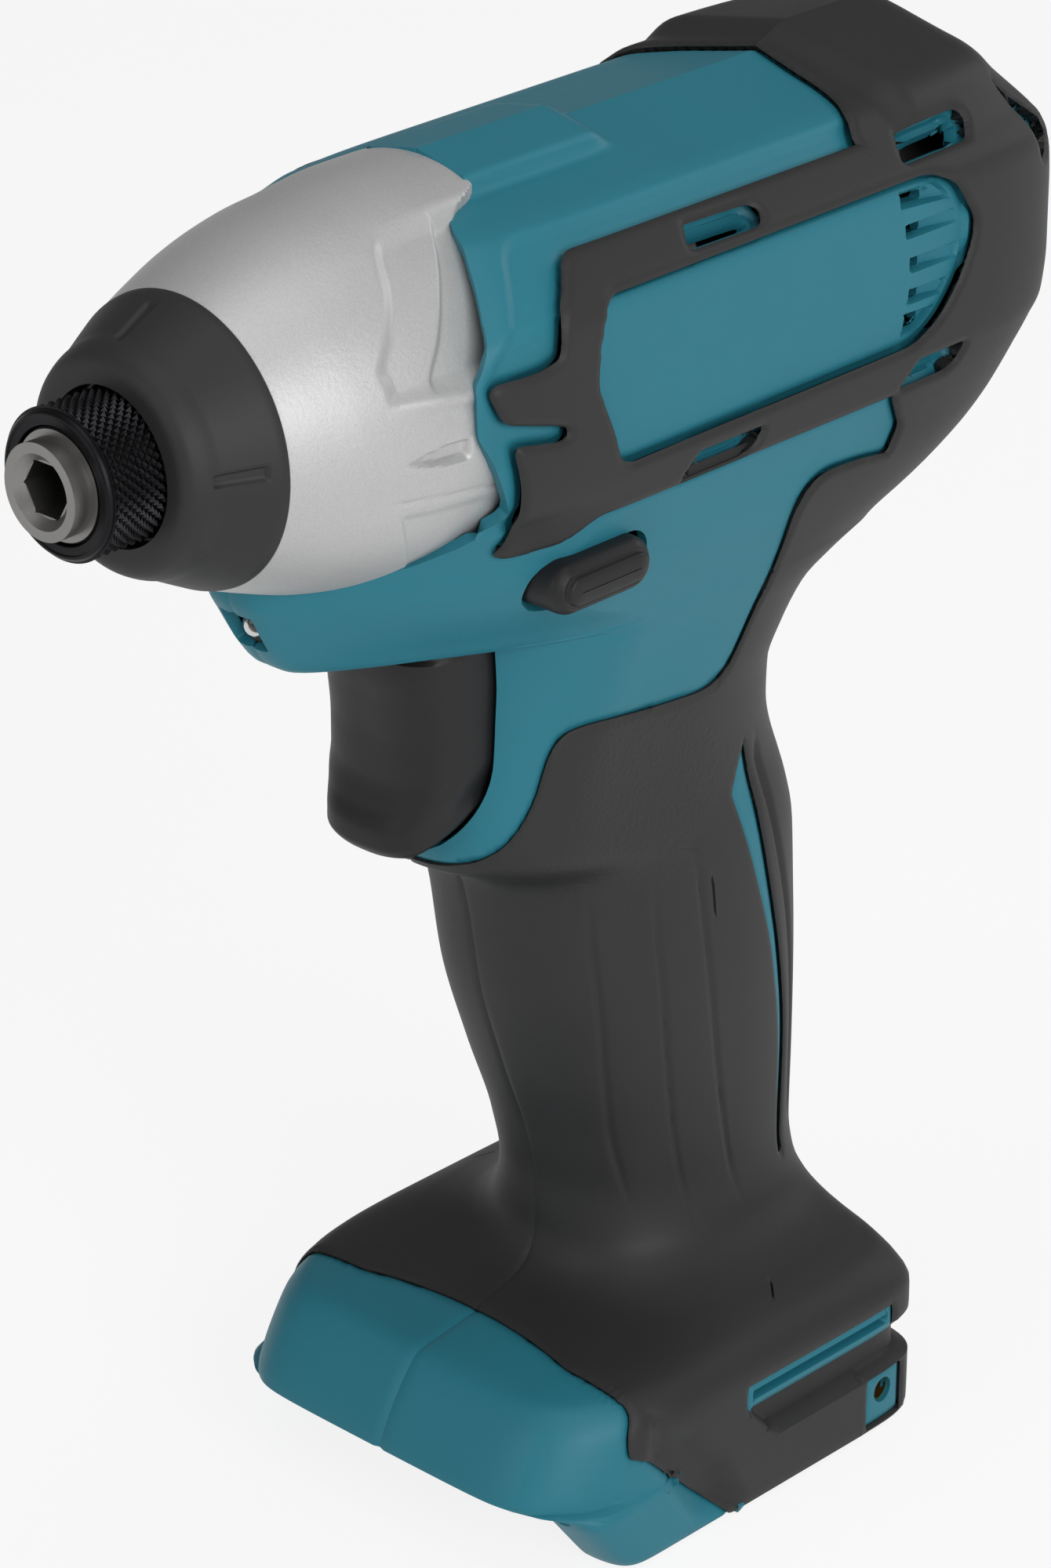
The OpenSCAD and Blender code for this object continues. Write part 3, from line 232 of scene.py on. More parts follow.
LEVELS = np.array([
    # height, front, back, half width, length of the front curve, its squareness, squareness of the back
    (23.25, 54, 141.4, 0.01, 40, 6, 6), (22.1, 54, 142.6, 5.8, 40, 6, 6),
    (20.9, 53, 143.8, 11.9, 40, 6, 6), (19.95, 51, 144.8, 16.5, 40, 6, 6),
    (19.2, 49.5, 145.5, 18.4, 40, 6, 6), (17.2, 47.5, 147.4, 20.8, 40, 6, 6),
    (13.2, 45, 150.6, 25.2, 40, 6, 6), (11.8, 44, 151.6, 26.2, 40, 6.5, 6),
    (9.5, 42, 152.5, 26.5, 40, 7, 6), (4, 40, 153, 26.5, 40, 7, 6), (-4, 40, 153, 26.5, 40, 7, 6),
    (-9.5, 39, 152.5, 26.3, 40, 5.5, 6), (-12.5, 36, 151.8, 25.9, 38, 3, 5.5),
    (-16, 32, 150.6, 25.3, 35, 1.8, 5), (-20, 27.8, 148.9, 24.4, 34.5, 1.28, 4.5),
    (-22, 28, 147.6, 24, 34.5, 1.26, 4.3), (-25, 29.5, 145.2, 23.3, 35, 1.26, 4),
    (-29, 31.6, 140.6, 22.2, 39, 1.26, 3.6), (-31.5, 33.4, 137.2, 21.5, 43, 1.26, 3.2),
    (-32.8, 35, 134.9, 21.15, 44, 1.28, 3), (-33.6, 38, 133.2, 20.93, 42, 1.28, 3),
    (-33.9, 43, 132.6, 20.85, 37, 1.4, 3), (-34.1, 49, 132.2, 20.8, 31, 1.6, 3),
    (-34.5, 56, 131.6, 20.7, 24, 1.9, 3), (-35.5, 56.8, 129.3, 20.42, 22.5, 2, 2.9),
    (-37, 56.8, 126.2, 20, 22, 2, 2.8), (-40, 56.8, 121.8, 19.25, 21, 2, 2.6),
    (-46, 56.8, 117.4, 18.2, 19, 2.1, 2.5), (-52, 56.6, 115.1, 17.5, 18, 2.2, 2.4),
    (-58, 56.3, 115.3, 17, 18, 2.3, 2.4), (-62, 56, 116.2, 16.9, 19, 2.3, 2.4),
    (-64, 56.2, 116.9, 16.9, 19.5, 2.3, 2.4), (-65.6, 57.6, 117.5, 16.9, 20, 2.3, 2.4),
    (-66.8, 59.8, 117.9, 16.9, 21, 2.3, 2.4), (-68.2, 62.8, 118.3, 16.9, 22, 2.3, 2.4),
    (-69.6, 65.4, 118.7, 16.9, 23, 2.3, 2.4), (-71.5, 66.9, 119.2, 17, 25, 2.3, 2.4),
    (-76, 68.2, 120.2, 17.1, 26, 2.3, 2.4), (-88, 70.4, 120.8, 17, 25, 2.3, 2.4),
    (-101, 74.6, 121.4, 16.2, 23, 2.3, 2.4), (-113, 79, 121.6, 15.3, 21, 2.3, 2.4),
    (-121, 80.6, 121.6, 14.9, 20.5, 2.3, 2.4), (-127, 80.6, 121.7, 16, 20.5, 2.4, 2.5),
    (-130.5, 79.6, 121.9, 18.8, 21, 2.6, 2.8), (-133, 77, 122, 23, 22, 2.8, 3.4),
    (-134.5, 72, 122.1, 26.4, 26, 3, 4.2), (-135.7, 64.4, 122.2, 28.8, 30, 3, 5.5),
    (-136.6, 58.2, 122.3, 30, 34, 3, 6.5), (-138, 56.6, 122.4, 31.2, 34, 3, 8),
    (-140, 55, 122.4, 31.9, 34, 3, 10), (-145, 52, 122.4, 32, 34, 3, 10),
    (-147.8, 50.8, 122.3, 32, 34, 3, 10), (-148.5, 51.4, 122.3, 32, 33, 3, 10),
    (-149.3, 55.5, 122.3, 32, 26, 7, 10), (-150, 56.3, 122.3, 32, 24.1, 11, 10),
    (-158.2, 62.8, 122, 31.9, 17.6, 11, 10), (-159, 63.8, 121.2, 31.2, 16.6, 11, 10),
    (-159, 70, 114, 25, 10.4, 8, 10), (-159, 92, 94, 0.01, 1, 6, 10)])
# Levels that part the head from the handle and the handle from the foot, and the mesh's step on each part
WAIST, ANKLE = 16, 43
HEAD_STEP, HANDLE_STEP, FOOT_STEP = 0.55, 1.6, 0.9
# How far the hard skin runs on under the soft one
UNDERLAP = 1.2
# Values of u at the front corner, at both ends of the straight run and at the back corner
STOPS = (0.16, 0.4, 0.54, 0.84)
BLUNT = np.array([
    # height and how far the tip of the front curve is cut back flat there
    (-160, 0), (-149.6, 0), (-148.5, 4), (-136.6, 4), (-134, 0), (-34.5, 0), (-33.8, 2.4), (-20, 2.4),
    (-14, 0), (30, 0)])
# Height and front of the level just below the jaw and of one above its corner
JAW = ((-37.0, 56.8), (-16.0, 32.0))


def body_surface(u, v):
    """Left half of the body. u runs from the front seam round the side to the back seam, v down the levels.

    A point of the half square (a, b) is drawn towards its middle by 1 / (a^p + |b|^p)^(1/p), which
    gives a rounded outline whose corners are squarer for a larger p, and is then scaled to the level.
    The front half has its own length and may be cut back flat, and a straight run joins it to the back
    half, which starts midway. Over the jaw it starts where it would with an even front, so that the back
    stays smooth.
    """
    level = glide(v, np.arange(len(LEVELS)), LEVELS)
    z, front, back, half, nose, square_front, square_back = np.moveaxis(level, -1, 0)
    s0, s1, s2, s3 = STOPS
    a = np.clip(np.minimum(u / s0, (1 - u) / (1 - s3)), 0, 1)
    b = np.interp(u, (0, s0, s1, s2, s3, 1), (-1, -1, 0, 0, 1, 1))
    p = np.where(u < s1, square_front, square_back)
    r = (a ** p + np.abs(b) ** p) ** (-1 / p)
    (low, low_front), (high, high_front) = JAW
    even = np.interp(z, (low, high), (low_front, high_front))
    middle = (np.where((z > low) & (z < high), even, front) + back) / 2
    run = np.clip((u - s1) / (s2 - s1), 0, 1)
    cut = np.interp(z, BLUNT[:, 0], BLUNT[:, 1])
    start = np.minimum(front - cut + nose, middle)
    ahead = start + (start - front + cut) * b * r
    behind = start + (middle - start) * run + (back - middle) * b * r
    past = np.where(u < s1, ahead, behind) - front
    y = front + 0.5 * (past + np.sqrt(past ** 2 + (0.5 * cut) ** 2))
    return np.stack([half * a * r, y, z], axis=-1)


def body_normal(u, v):
    """Outward direction: cross product of the steps along v and u."""
    du, dv = 1e-4, 1e-3
    su = body_surface(np.clip(u + du, 0, 1), v) - body_surface(np.clip(u - du, 0, 1), v)
    sv = body_surface(u, np.minimum(v + dv, len(LEVELS) - 1)) - body_surface(u, np.maximum(v - dv, 0))
    n = np.cross(sv, su)
    n /= np.maximum(np.linalg.norm(n, axis=-1, keepdims=True), 1e-10)
    share = smooth(v / 1.2)[..., None]
    n = n * share + np.array([0.0, 0.0, 1.0]) * (1 - share)
    return n / np.maximum(np.linalg.norm(n, axis=-1, keepdims=True), 1e-10)


def level_steps(v0, v1, step):
    """Values of v whose outlines are about one step apart, by the way the side, front and back move."""
    v = np.linspace(v0, v1, 4000)
    level = glide(v, np.arange(len(LEVELS)), LEVELS)
    move = np.diff(level[:, :4], axis=0) * np.array([1, 0.6, 0.6, 1])
    way = np.concatenate([[0], np.cumsum(np.linalg.norm(move, axis=1) + 1e-6)])
    return np.interp(np.linspace(0, way[-1], int(way[-1] / step) + 2), way, v)


# Side-view outlines of the colour areas and recesses

FRAME = rounded([
    (62.2, 17), (56.6, 12), (56.2, 7.3), (53.4, 6.6), (46.6, 6.4), (45.8, 5.4), (47.7, 1.4),
    (55.1, -0.6), (57.2, -1.3), (57.4, -2.4), (56.1, -2.8), (49.5, -1.7), (49.2, -2.5), (50.3, -6.8),
    (50.7, -11.6), (51.3, -14.8), (50, -16.6), (51.6, -17.4), (55.2, -17.1), (59.3, -16.8),
    (63.3, -14.7), (118, -14.6), (120.3, -16), (125, -16), (125, 17)],
    [1.6, 1.5, 1, 1, 1, 0.8, 1.2, 1, 0.5, 0.5, 0.6, 0.4, 0.6, 2, 2, 1.5, 0.6, 1, 2, 2, 2, 1, 1, 1, 1])
PANEL = rounded([
    (64.4, 12.3), (122, 12.6), (126.5, 10.8), (130.4, 5.2), (130.2, 2.4), (128, -2), (124.2, -6.2),
    (119.5, -8.6), (68, -9), (66.4, -8), (65.5, -4.8), (62.9, 1), (62.4, 3), (63, 8)],
    [1.8, 2, 2, 1.4, 1.4, 2, 2, 2, 1, 1, 1.5, 1.5, 1.5, 2])
GRIP = rounded([
    (40, -66.6), (55, -66.6), (56.6, -65.6), (57.9, -64.1), (59.6, -62.9), (62, -60.4), (64.4, -55.4),
    (65.2, -51.8), (65.9, -49.4), (67.4, -47), (71.2, -46.4), (82, -47.9), (92.3, -48.9),
    (96.5, -47.1), (99.5, -40.4), (101.5, -32), (101.9, -25.2), (105.1, -21.9), (112.8, -22.3),
    (118.2, -23.2), (119.3, -19.6), (116.6, -15.2), (116.6, 14), (113.7, 17.2), (114.6, 18.5),
    (115.6, 19.7), (117.4, 20.5), (118.1, 21.1), (118.5, 21.9), (119, 22.6), (119.8, 23.6),
    (119.8, 40), (180, 40), (180, -170), (95, -170), (68.4, -144.4), (65.4, -143), (65.6, -140),
    (67.2, -137.6), (66.4, -134.4), (60, -132), (40, -130)],
    [0.1, 1, 1, 1, 1, 3, 3, 2, 2, 2, 3, 3, 3, 3, 4, 4, 3, 3, 3, 0.8, 0.8, 1, 1, 0.6, 1, 1, 1, 1, 1, 1,
    0.5, 1, 1, 1, 1, 0.8, 0.5, 2, 1, 1, 1, 0.1])
BORDER = rounded([(56, 19.6), (130, 19.6), (130, -30), (44, -30), (44, 5.5), (49.3, 11)],
                 [2.5, 1, 1, 1, 1, 4])
UPPER_ENDS, LOWER_ENDS = [0.4, 0.5, 1.2, 1.2, 0.8], [0.4, 0.8, 0.8, 1.2, 1]
SLOTS = [
    rounded([(79.6, 13.5), (81, 15.7), (92.2, 15.5), (93.4, 14.6), (92, 13.4)], UPPER_ENDS),
    rounded([(118.8, 14), (120.5, 16.7), (131.6, 16.8), (133, 15.9), (131, 14.1)], UPPER_ENDS),
    rounded([(77.6, -14.1), (80.2, -11.2), (92, -11.2), (90.6, -13.6), (88.6, -14.1)], LOWER_ENDS),
    rounded([(117.4, -14), (120.6, -10.9), (130, -10.9), (128.6, -13.2), (126.6, -14)], LOWER_ENDS),
    # the window in the rear cap
    rounded([(141.4, 17.5), (148.6, 11.9), (149.1, 9.9), (147.3, 8.1), (145.8, 8), (144.5, 10.8)],
            [0.6, 1, 0.8, 0.6, 0.5, 2])]
VENTS = [
    rounded([(117.2, 9.2), (117, 11.6), (123.8, 11.5), (127, 8.4)], [0.3, 0.3, 0.8, 0.6]),
    rounded([(118.4, 5), (118.2, 7), (128, 6.9), (128.4, 4.9)], 0.3),
    rounded([(119.2, 0.4), (119.2, 2.5), (128.8, 2.4), (128.4, 0.3)], 0.3),
    rounded([(119, -3.6), (119.2, -1.6), (127, -1.7), (125.6, -3.7)], 0.3),
    rounded([(118, -7.4), (118.6, -4.6), (124.8, -4.8), (121.6, -7.3)], [0.3, 0.3, 0.8, 0.6])]
HOOK_LIP = rounded([(86, -144.5), (86, -141), (115, -141), (115, -144.5)], 0.5)
HOOK_HOLE = rounded([(87.1, -143.3), (87.1, -141.9), (114, -141.9), (114, -143.3)], 0.4)
NUT_PAD = rounded([(109.9, -158), (109.9, -150.6), (117.4, -150.6), (117.4, -158)], 0.5)
FACET = rounded([(68.4, -136.8), (77, -142.2), (82.4, -148.6), (88, -159.8), (78, -161), (66.8, -145)], 1.0)
STRIPE = rounded([
    (98.6, -66), (101.9, -60), (104.8, -74), (109, -89), (112.7, -104), (113, -124), (112, -124),
    (110.8, -104.2), (107, -89.2), (101.7, -74.4)],
    [0.5, 0.4, 4, 6, 6, 0.3, 0.3, 6, 6, 4])
GRIP_LINES = [
    # start and end of each line moulded down the grip
    (67, -64, 77.9, -114.3), (75.4, -71.4, 86.9, -123.8), (84, -71.2, 95.3, -129.6),
    (90.4, -63.7, 103.8, -130.8)]
NOSE_EDGE = np.array([
    # angle about the bit axis, station of the housing's front edge
    (-91, 27.7), (-82.6, 30.5), (-67.2, 37.3), (-55.2, 42.8), (-47, 48.6), (-40.1, 51.2), (-30.2, 51),
    (-18.2, 48.9), (-7.9, 46.9), (1.7, 44.8), (13.6, 44.7), (18.6, 45.8), (37.8, 49.6), (49.4, 51.6),
    (63.5, 55), (66.5, 57.8), (69.8, 59.8), (91, 60)])

# Openings: the lever's slot, the trigger's mouth, the lamp's hole, the battery bay and the nut's hole
LEVER_SLOT, LEVER_HALF = (64.7, -22.9), (5.8, 3.8)
TRIGGER_HALF, TRIGGER_TOP, TRIGGER_BEND, TRIGGER_BOW, TRIGGER_BACK = 11.7, -33.2, -50, 13.8, 75
LAMP_AT, LAMP_HALF = -26.6, (2.7, 2.6)
BAY_HALF, BAY_BACK, BAY_TOP = 25.2, 105, -149.28
NUT_AT, NUT_HOLE = (113.5, -153.5), 1.8
# Ledge width in the slots and vents, the station behind which the vents are closed, and a far distance
SLOT_RIM, VENT_RIM, VENT_CLOSED, FAR = 0.5, 0.3, 122.2, 9.0
# Heights and depths of the relief
ROOF_PAD, CAP_RISE, CHANNEL_DEPTH, FACET_DEPTH, SEAM_DEPTH = 2.1, 1.7, 2.2, 1.9, 0.22
LINE_DEPTH, STRIPE_GROOVE, BORDER_STEP, SLOT_SINK, HOOK_DEPTH = 0.32, 0.7, 0.6, 0.9, 1.8
KNURL_DEPTH = 0.62


def bell_radius(y):
    """Radius of the nose case's bell without its relief."""
    stations = (21.6, 26, 31, 36, 41, 46, 51, 62)
    radii = (17.95, 19.6, 21.3, 22.55, 23.4, 23.95, 24.2, 24.25)
    return glide(y, stations, radii)


def nose_edge(x, z):
    """Station of the housing's front edge at an angle about the bit axis."""
    return glide(np.degrees(np.arctan2(z, np.maximum(x, 0))), NOSE_EDGE[:, 0], NOSE_EDGE[:, 1])


def soft_area(p):
    """Depth inside the overmould, positive on it: handle, foot, rear cap and the frame round the panel."""
    x, y, z = np.moveaxis(p, -1, 0)
    bow = 2.4 * np.clip(1 - (x / 18) ** 2, 0, 1) * smooth((z + 137.5) / 1.5) * smooth((-128 - z) / 4)
    area = np.maximum(depth_in(GRIP, y - bow, z), depth_in(FRAME, y, z))
    area = np.minimum(area, -deepest([PANEL] + SLOTS, y, z))
    return np.where(x > 8, np.minimum(area, -deepest([HOOK_LIP, NUT_PAD, STRIPE], y, z)), area)


def kept_area(p):
    """Positive where the skin is kept: behind the nose edge and outside every opening."""
    x, y, z = np.moveaxis(p, -1, 0)
    rim = np.interp(y, (28, 37, 42, 46, 51), (-19, -18.6, -17.2, -15.2, -11.5))
    jaw = np.minimum(np.hypot(x, z) - bell_radius(y), rim - z)
    nose = np.maximum(y - nose_edge(x, z), jaw)
    bow = np.hypot(x / TRIGGER_HALF, np.minimum(z - TRIGGER_BEND, 0) / TRIGGER_BOW)
    trigger = np.max([TRIGGER_HALF * (bow - 1), y - TRIGGER_BACK, z - TRIGGER_TOP], axis=0)
    along = np.maximum(np.abs(y - LEVER_SLOT[0]) - LEVER_HALF[0], 0)
    lever = np.where(x > 12, np.hypot(along, z - LEVER_SLOT[1]) - LEVER_HALF[1], FAR)
    lamp = np.maximum(x - LAMP_HALF[0], np.abs(z - LAMP_AT) - LAMP_HALF[1])
    lamp = np.where(y < 45, lamp, FAR)
    bay = np.max([x - BAY_HALF, y - BAY_BACK, z - BAY_TOP], axis=0)
    nut = np.where(x > 20, np.hypot(y - NUT_AT[0], z - NUT_AT[1]) - NUT_HOLE, FAR)
    slots = SLOT_RIM - deepest(SLOTS, y, z)
    vents = np.maximum(VENT_RIM - deepest(VENTS, y, z), y - VENT_CLOSED)
    return np.min([nose, trigger, lever, lamp, bay, nut, slots, vents], axis=0)


def sunk_area(p):
    """Depth inside the vents, slots and hook groove, whose rims and floors the mesh follows."""
    _, y, z = np.moveaxis(p, -1, 0)
    return deepest(VENTS + SLOTS + [HOOK_HOLE], y, z)


def body_relief(p):
    """Height added to both skins: roof pad, rear cap, foot channel, corner facet and the halves' seam."""
    x, y, z = np.moveaxis(p, -1, 0)
    rise = ROOF_PAD * smooth((9.0 - x) / 1.7) * smooth((85.6 - y) / 4.4) * (z > 19)
    rise += CAP_RISE * smooth((y - 119.8) / 5.5) * smooth((z - 14) / 6) * smooth((147 - y) / 8)
    side = smooth((x - 18) / 4)
    start = 83.1 + 0.95 * (-141.7 - z)
    channel = smooth((y - start) / 1.6) * smooth((z + 150.2) / 1.0) * smooth((-143.6 - z) / 2.4)
    facet = smooth(depth_in(FACET, y, z) / 4.5) * smooth((z + 158.6) / 4)
    rise -= side * (CHANNEL_DEPTH * channel + FACET_DEPTH * facet)
    return rise - SEAM_DEPTH * np.exp(-(x / 0.4) ** 2) * (z < 22)


def soft_relief(p, soft):
    """Height of the overmould: a rounded edge that stands proud, with the lines moulded down the grip."""
    x, y, z = np.moveaxis(p, -1, 0)
    proud = 0.5 + 0.45 * smooth((z + 34) / 14)
    edge = np.clip(soft, 0, 1)
    rise = body_relief(p) + proud * (0.4 + 0.6 * np.sqrt(1 - (1 - edge) ** 2))
    for y_top, z_top, y_end, z_end in GRIP_LINES:
        t = (z_top - z) / (z_top - z_end)
        path = y_top + (y_end - y_top) * t - 6 * t * (1 - t)
        line = np.exp(-((y - path) / 0.4) ** 2) * smooth(t / 0.2) * smooth((1 - t) / 0.2)
        rise -= LINE_DEPTH * line * (x > 8)
    path = glide(z, (-121, -103.6, -88.8, -73.6, -63.3), (116.2, 115, 112.3, 107.8, 105.1))
    groove = np.exp(-((y - path) / 0.6) ** 2) * smooth((z + 122) / 6) * smooth((-60 - z) / 4)
    return rise - STRIPE_GROOVE * groove * (x > 6)


def hard_relief(p, soft):
    """Height of the hard skin: groove along the overmould, border step, sunk slots, vents and hook groove."""
    x, y, z = np.moveaxis(p, -1, 0)
    rise = body_relief(p) - 0.25 * smooth(1 + soft / 0.7) - 0.5 * smooth(soft / 0.4)
    rise -= BORDER_STEP * smooth(depth_in(BORDER, y, z) / 0.8) * (z > -14) * smooth((y - 45.0) / 3)
    rise -= SLOT_SINK * smooth((deepest(SLOTS, y, z) + 1.1) / 0.9)
    ramp = 0.35 + 0.9 * smooth((128 - y) / 6)
    rise -= ramp * np.clip(deepest(VENTS, y, z) / VENT_RIM, 0, 1)
    lip = smooth((depth_in(HOOK_LIP, y, z) + 0.2) / 0.2) * smooth((x - 18) / 4)
    rise -= HOOK_DEPTH * np.clip(depth_in(HOOK_HOLE, y, z) / VENT_RIM, 0, 1) * (x > 20)
    return rise + lip * (0.2 + 2.0 * smooth((-143.6 - z) / 2.4))


def snapped(field, i, j, rows, cols, limit=0.22):
    """Index steps that bring grid points near a boundary onto it, against the field's slope, and which moved.

    Points on the grid's border stay on it.
    """
    gi, gj = np.gradient(field)
    gi = np.where((i == 0) | (i == rows - 1), 0, gi)
    gj = np.where((j == 0) | (j == cols - 1), 0, gj)
    size = np.maximum(gi ** 2 + gj ** 2, 1e-12)
    di, dj = -field * gi / size, -field * gj / size
    near = (np.abs(di) < limit) & (np.abs(dj) < limit) & (gi ** 2 + gj ** 2 > 1e-6)
    return np.where(near, di, 0), np.where(near, dj, 0), near


def cut_by(places, faces, field):
    """Triangles cut along a field's zero line, with a new place on each crossed edge, and the side of each.

    A crossed triangle with a corner on the line is cut in two there, any other in a tip and two more.
    """
    sign = np.sign(field).astype(int)
    t = sign[faces]
    mixed = (t.min(axis=1) < 0) & (t.max(axis=1) > 0)
    whole, whole_side = faces[~mixed], np.sign(t[~mixed].sum(axis=1))
    t = t[mixed]
    total = t.sum(axis=1)
    flat, bent = total == 0, total != 0
    tip = np.argmax(t == -np.sign(total)[:, None], axis=1)
    lone = np.where(flat, np.argmin(np.abs(t), axis=1), tip)
    a, b, c = np.take_along_axis(faces[mixed], (lone[:, None] + np.arange(3)) % 3, axis=1).T
    pairs = ((b[flat], c[flat]), (a[bent], b[bent]), (a[bent], c[bent]))
    ends = np.sort(np.concatenate([np.stack(pair, 1) for pair in pairs]), axis=1)
    edges, back = np.unique(ends, axis=0, return_inverse=True)
    f0, f1 = field[edges[:, 0]], field[edges[:, 1]]
    share = (f0 / np.where(f0 == f1, 1, f0 - f1))[:, None]
    places = np.concatenate([places, places[edges[:, 0]] * (1 - share) + places[edges[:, 1]] * share])
    m, p, q = np.split(back.ravel() + len(field), np.cumsum([flat.sum(), bent.sum()]))
    x, y, z = a[flat], b[flat], c[flat]
    a, b, c = a[bent], b[bent], c[bent]
    cuts = (((x, y, m), sign[y]), ((x, m, z), sign[z]), ((a, p, q), sign[a]), ((p, b, c), -sign[a]),
            ((p, c, q), -sign[a]))
    parts = [whole] + [np.stack(corners, 1) for corners, _ in cuts]
    sides = [whole_side] + [side for _, side in cuts]
    return places, np.concatenate(parts), np.concatenate(sides)


def body_skins(columns=231):
    """Left half of the body: points and faces of the hard and of the soft skin, cut along every boundary.

    The hard skin runs on for a strip under the soft one, so that no gap shows between them.
    """
    last = len(LEVELS) - 1
    parts = ((0, WAIST, HEAD_STEP), (WAIST, ANKLE, HANDLE_STEP), (ANKLE, last, FOOT_STEP))
    v_at = np.concatenate([[0.0]] + [level_steps(*part)[1:] for part in parts])
    # Columns lie closer together over the rear of the side, where the vents are
    u_at = np.interp(np.linspace(0, 1, columns), (0, 0.52, 0.57, 0.78, 1), (0, 0.54, 0.6, 0.74, 1))
    rows = len(v_at)
    i, j = np.meshgrid(np.arange(rows), np.arange(columns), indexing="ij")

    def chart(places):
        u = np.interp(places[..., 1], np.arange(columns), u_at)
        return u, np.interp(places[..., 0], np.arange(rows), v_at)

    def over(area, places):
        return area(body_surface(*chart(places)))

    places = np.stack([i, j], axis=-1).astype(float)
    di, dj, on_edge = snapped(over(kept_area, places), i, j, rows, columns)
    places += np.stack([di, dj], axis=-1)
    di, dj, on_line = snapped(over(soft_area, places), i, j, rows, columns)
    on_line &= ~on_edge
    places += np.where(on_line[..., None], np.stack([di, dj], axis=-1), 0)
    places = places.reshape(-1, 2)
    quads = grid_faces(rows, columns)
    faces = np.concatenate([quads[:, [0, 1, 2]], quads[:, [0, 2, 3]]])
    field = np.where(on_edge.ravel(), 0, over(kept_area, places))
    places, faces, side = cut_by(places, faces, field)
    faces = faces[side > 0]
    field = over(soft_area, places)
    field[:on_line.size] = np.where(on_line.ravel(), 0, field[:on_line.size])
    places, faces, side = cut_by(places, faces, field)
    is_soft = side > 0
    for depth in (0.0, VENT_RIM):
        kept = []
        for group in (faces[is_soft], faces[~is_soft]):
            places, group, _ = cut_by(places, group, over(sunk_area, places) - depth)
            kept.append(group)
        faces = np.concatenate(kept)
        is_soft = np.arange(len(faces)) < len(kept[0])
    places, soft_faces, under = cut_by(places, faces[is_soft], over(soft_area, places) - UNDERLAP)
    hard_faces = np.concatenate([faces[~is_soft], soft_faces[under < 0]])
    u, v = chart(places)
    base = body_surface(u, v)
    depth = soft_area(base)
    seam = (places[:, 1] < 1e-6) | (places[:, 1] > columns - 1 - 1e-6)
    skins = []
    for height, part in ((hard_relief, hard_faces), (soft_relief, soft_faces)):
        rise = height(base, depth)
        rise = np.where(rise > 0, rise * smooth((base[..., 2] - LEVELS[-1, 0]) / 0.8), rise)
        points = base + body_normal(u, v) * rise[..., None]
        points[..., 0] = np.where(seam, 0, np.maximum(points[..., 0], 0))
        skins.append((points, part))
    return skins


# Finishes

class Tone:
    """A value socket of a shader tree; arithmetic on it adds Math nodes."""

    def __init__(self, finish, socket):
        self.finish = finish
        self.socket = socket

    def _math(self, kind, *values):
        node = self.finish.node("ShaderNodeMath", {"operation": kind}, dict(enumerate(values)))
        return Tone(self.finish, node.outputs[0])

    def __add__(self, other):
        return self._math("ADD", self, other)

    def __sub__(self, other):
        return self._math("SUBTRACT", self, other)

    def __rsub__(self, other):
        return self._math("SUBTRACT", other, self)

    def __mul__(self, other):
        return self._math("MULTIPLY", self, other)

    __radd__ = __add__
    __rmul__ = __mul__

    def most(self, other):
        """The larger of two values."""
        return self._math("MAXIMUM", self, other)

    def size(self):
        """The value without its sign."""
        return self._math("ABSOLUTE", self)

    def ramp(self, low, high):
        """Eases from 0 at low to 1 at high."""
        node = self.finish.node("ShaderNodeMapRange", {"interpolation_type": "SMOOTHSTEP"},
                                {"Value": self.socket, "From Min": low, "From Max": high})
        return Tone(self.finish, node.outputs[0])


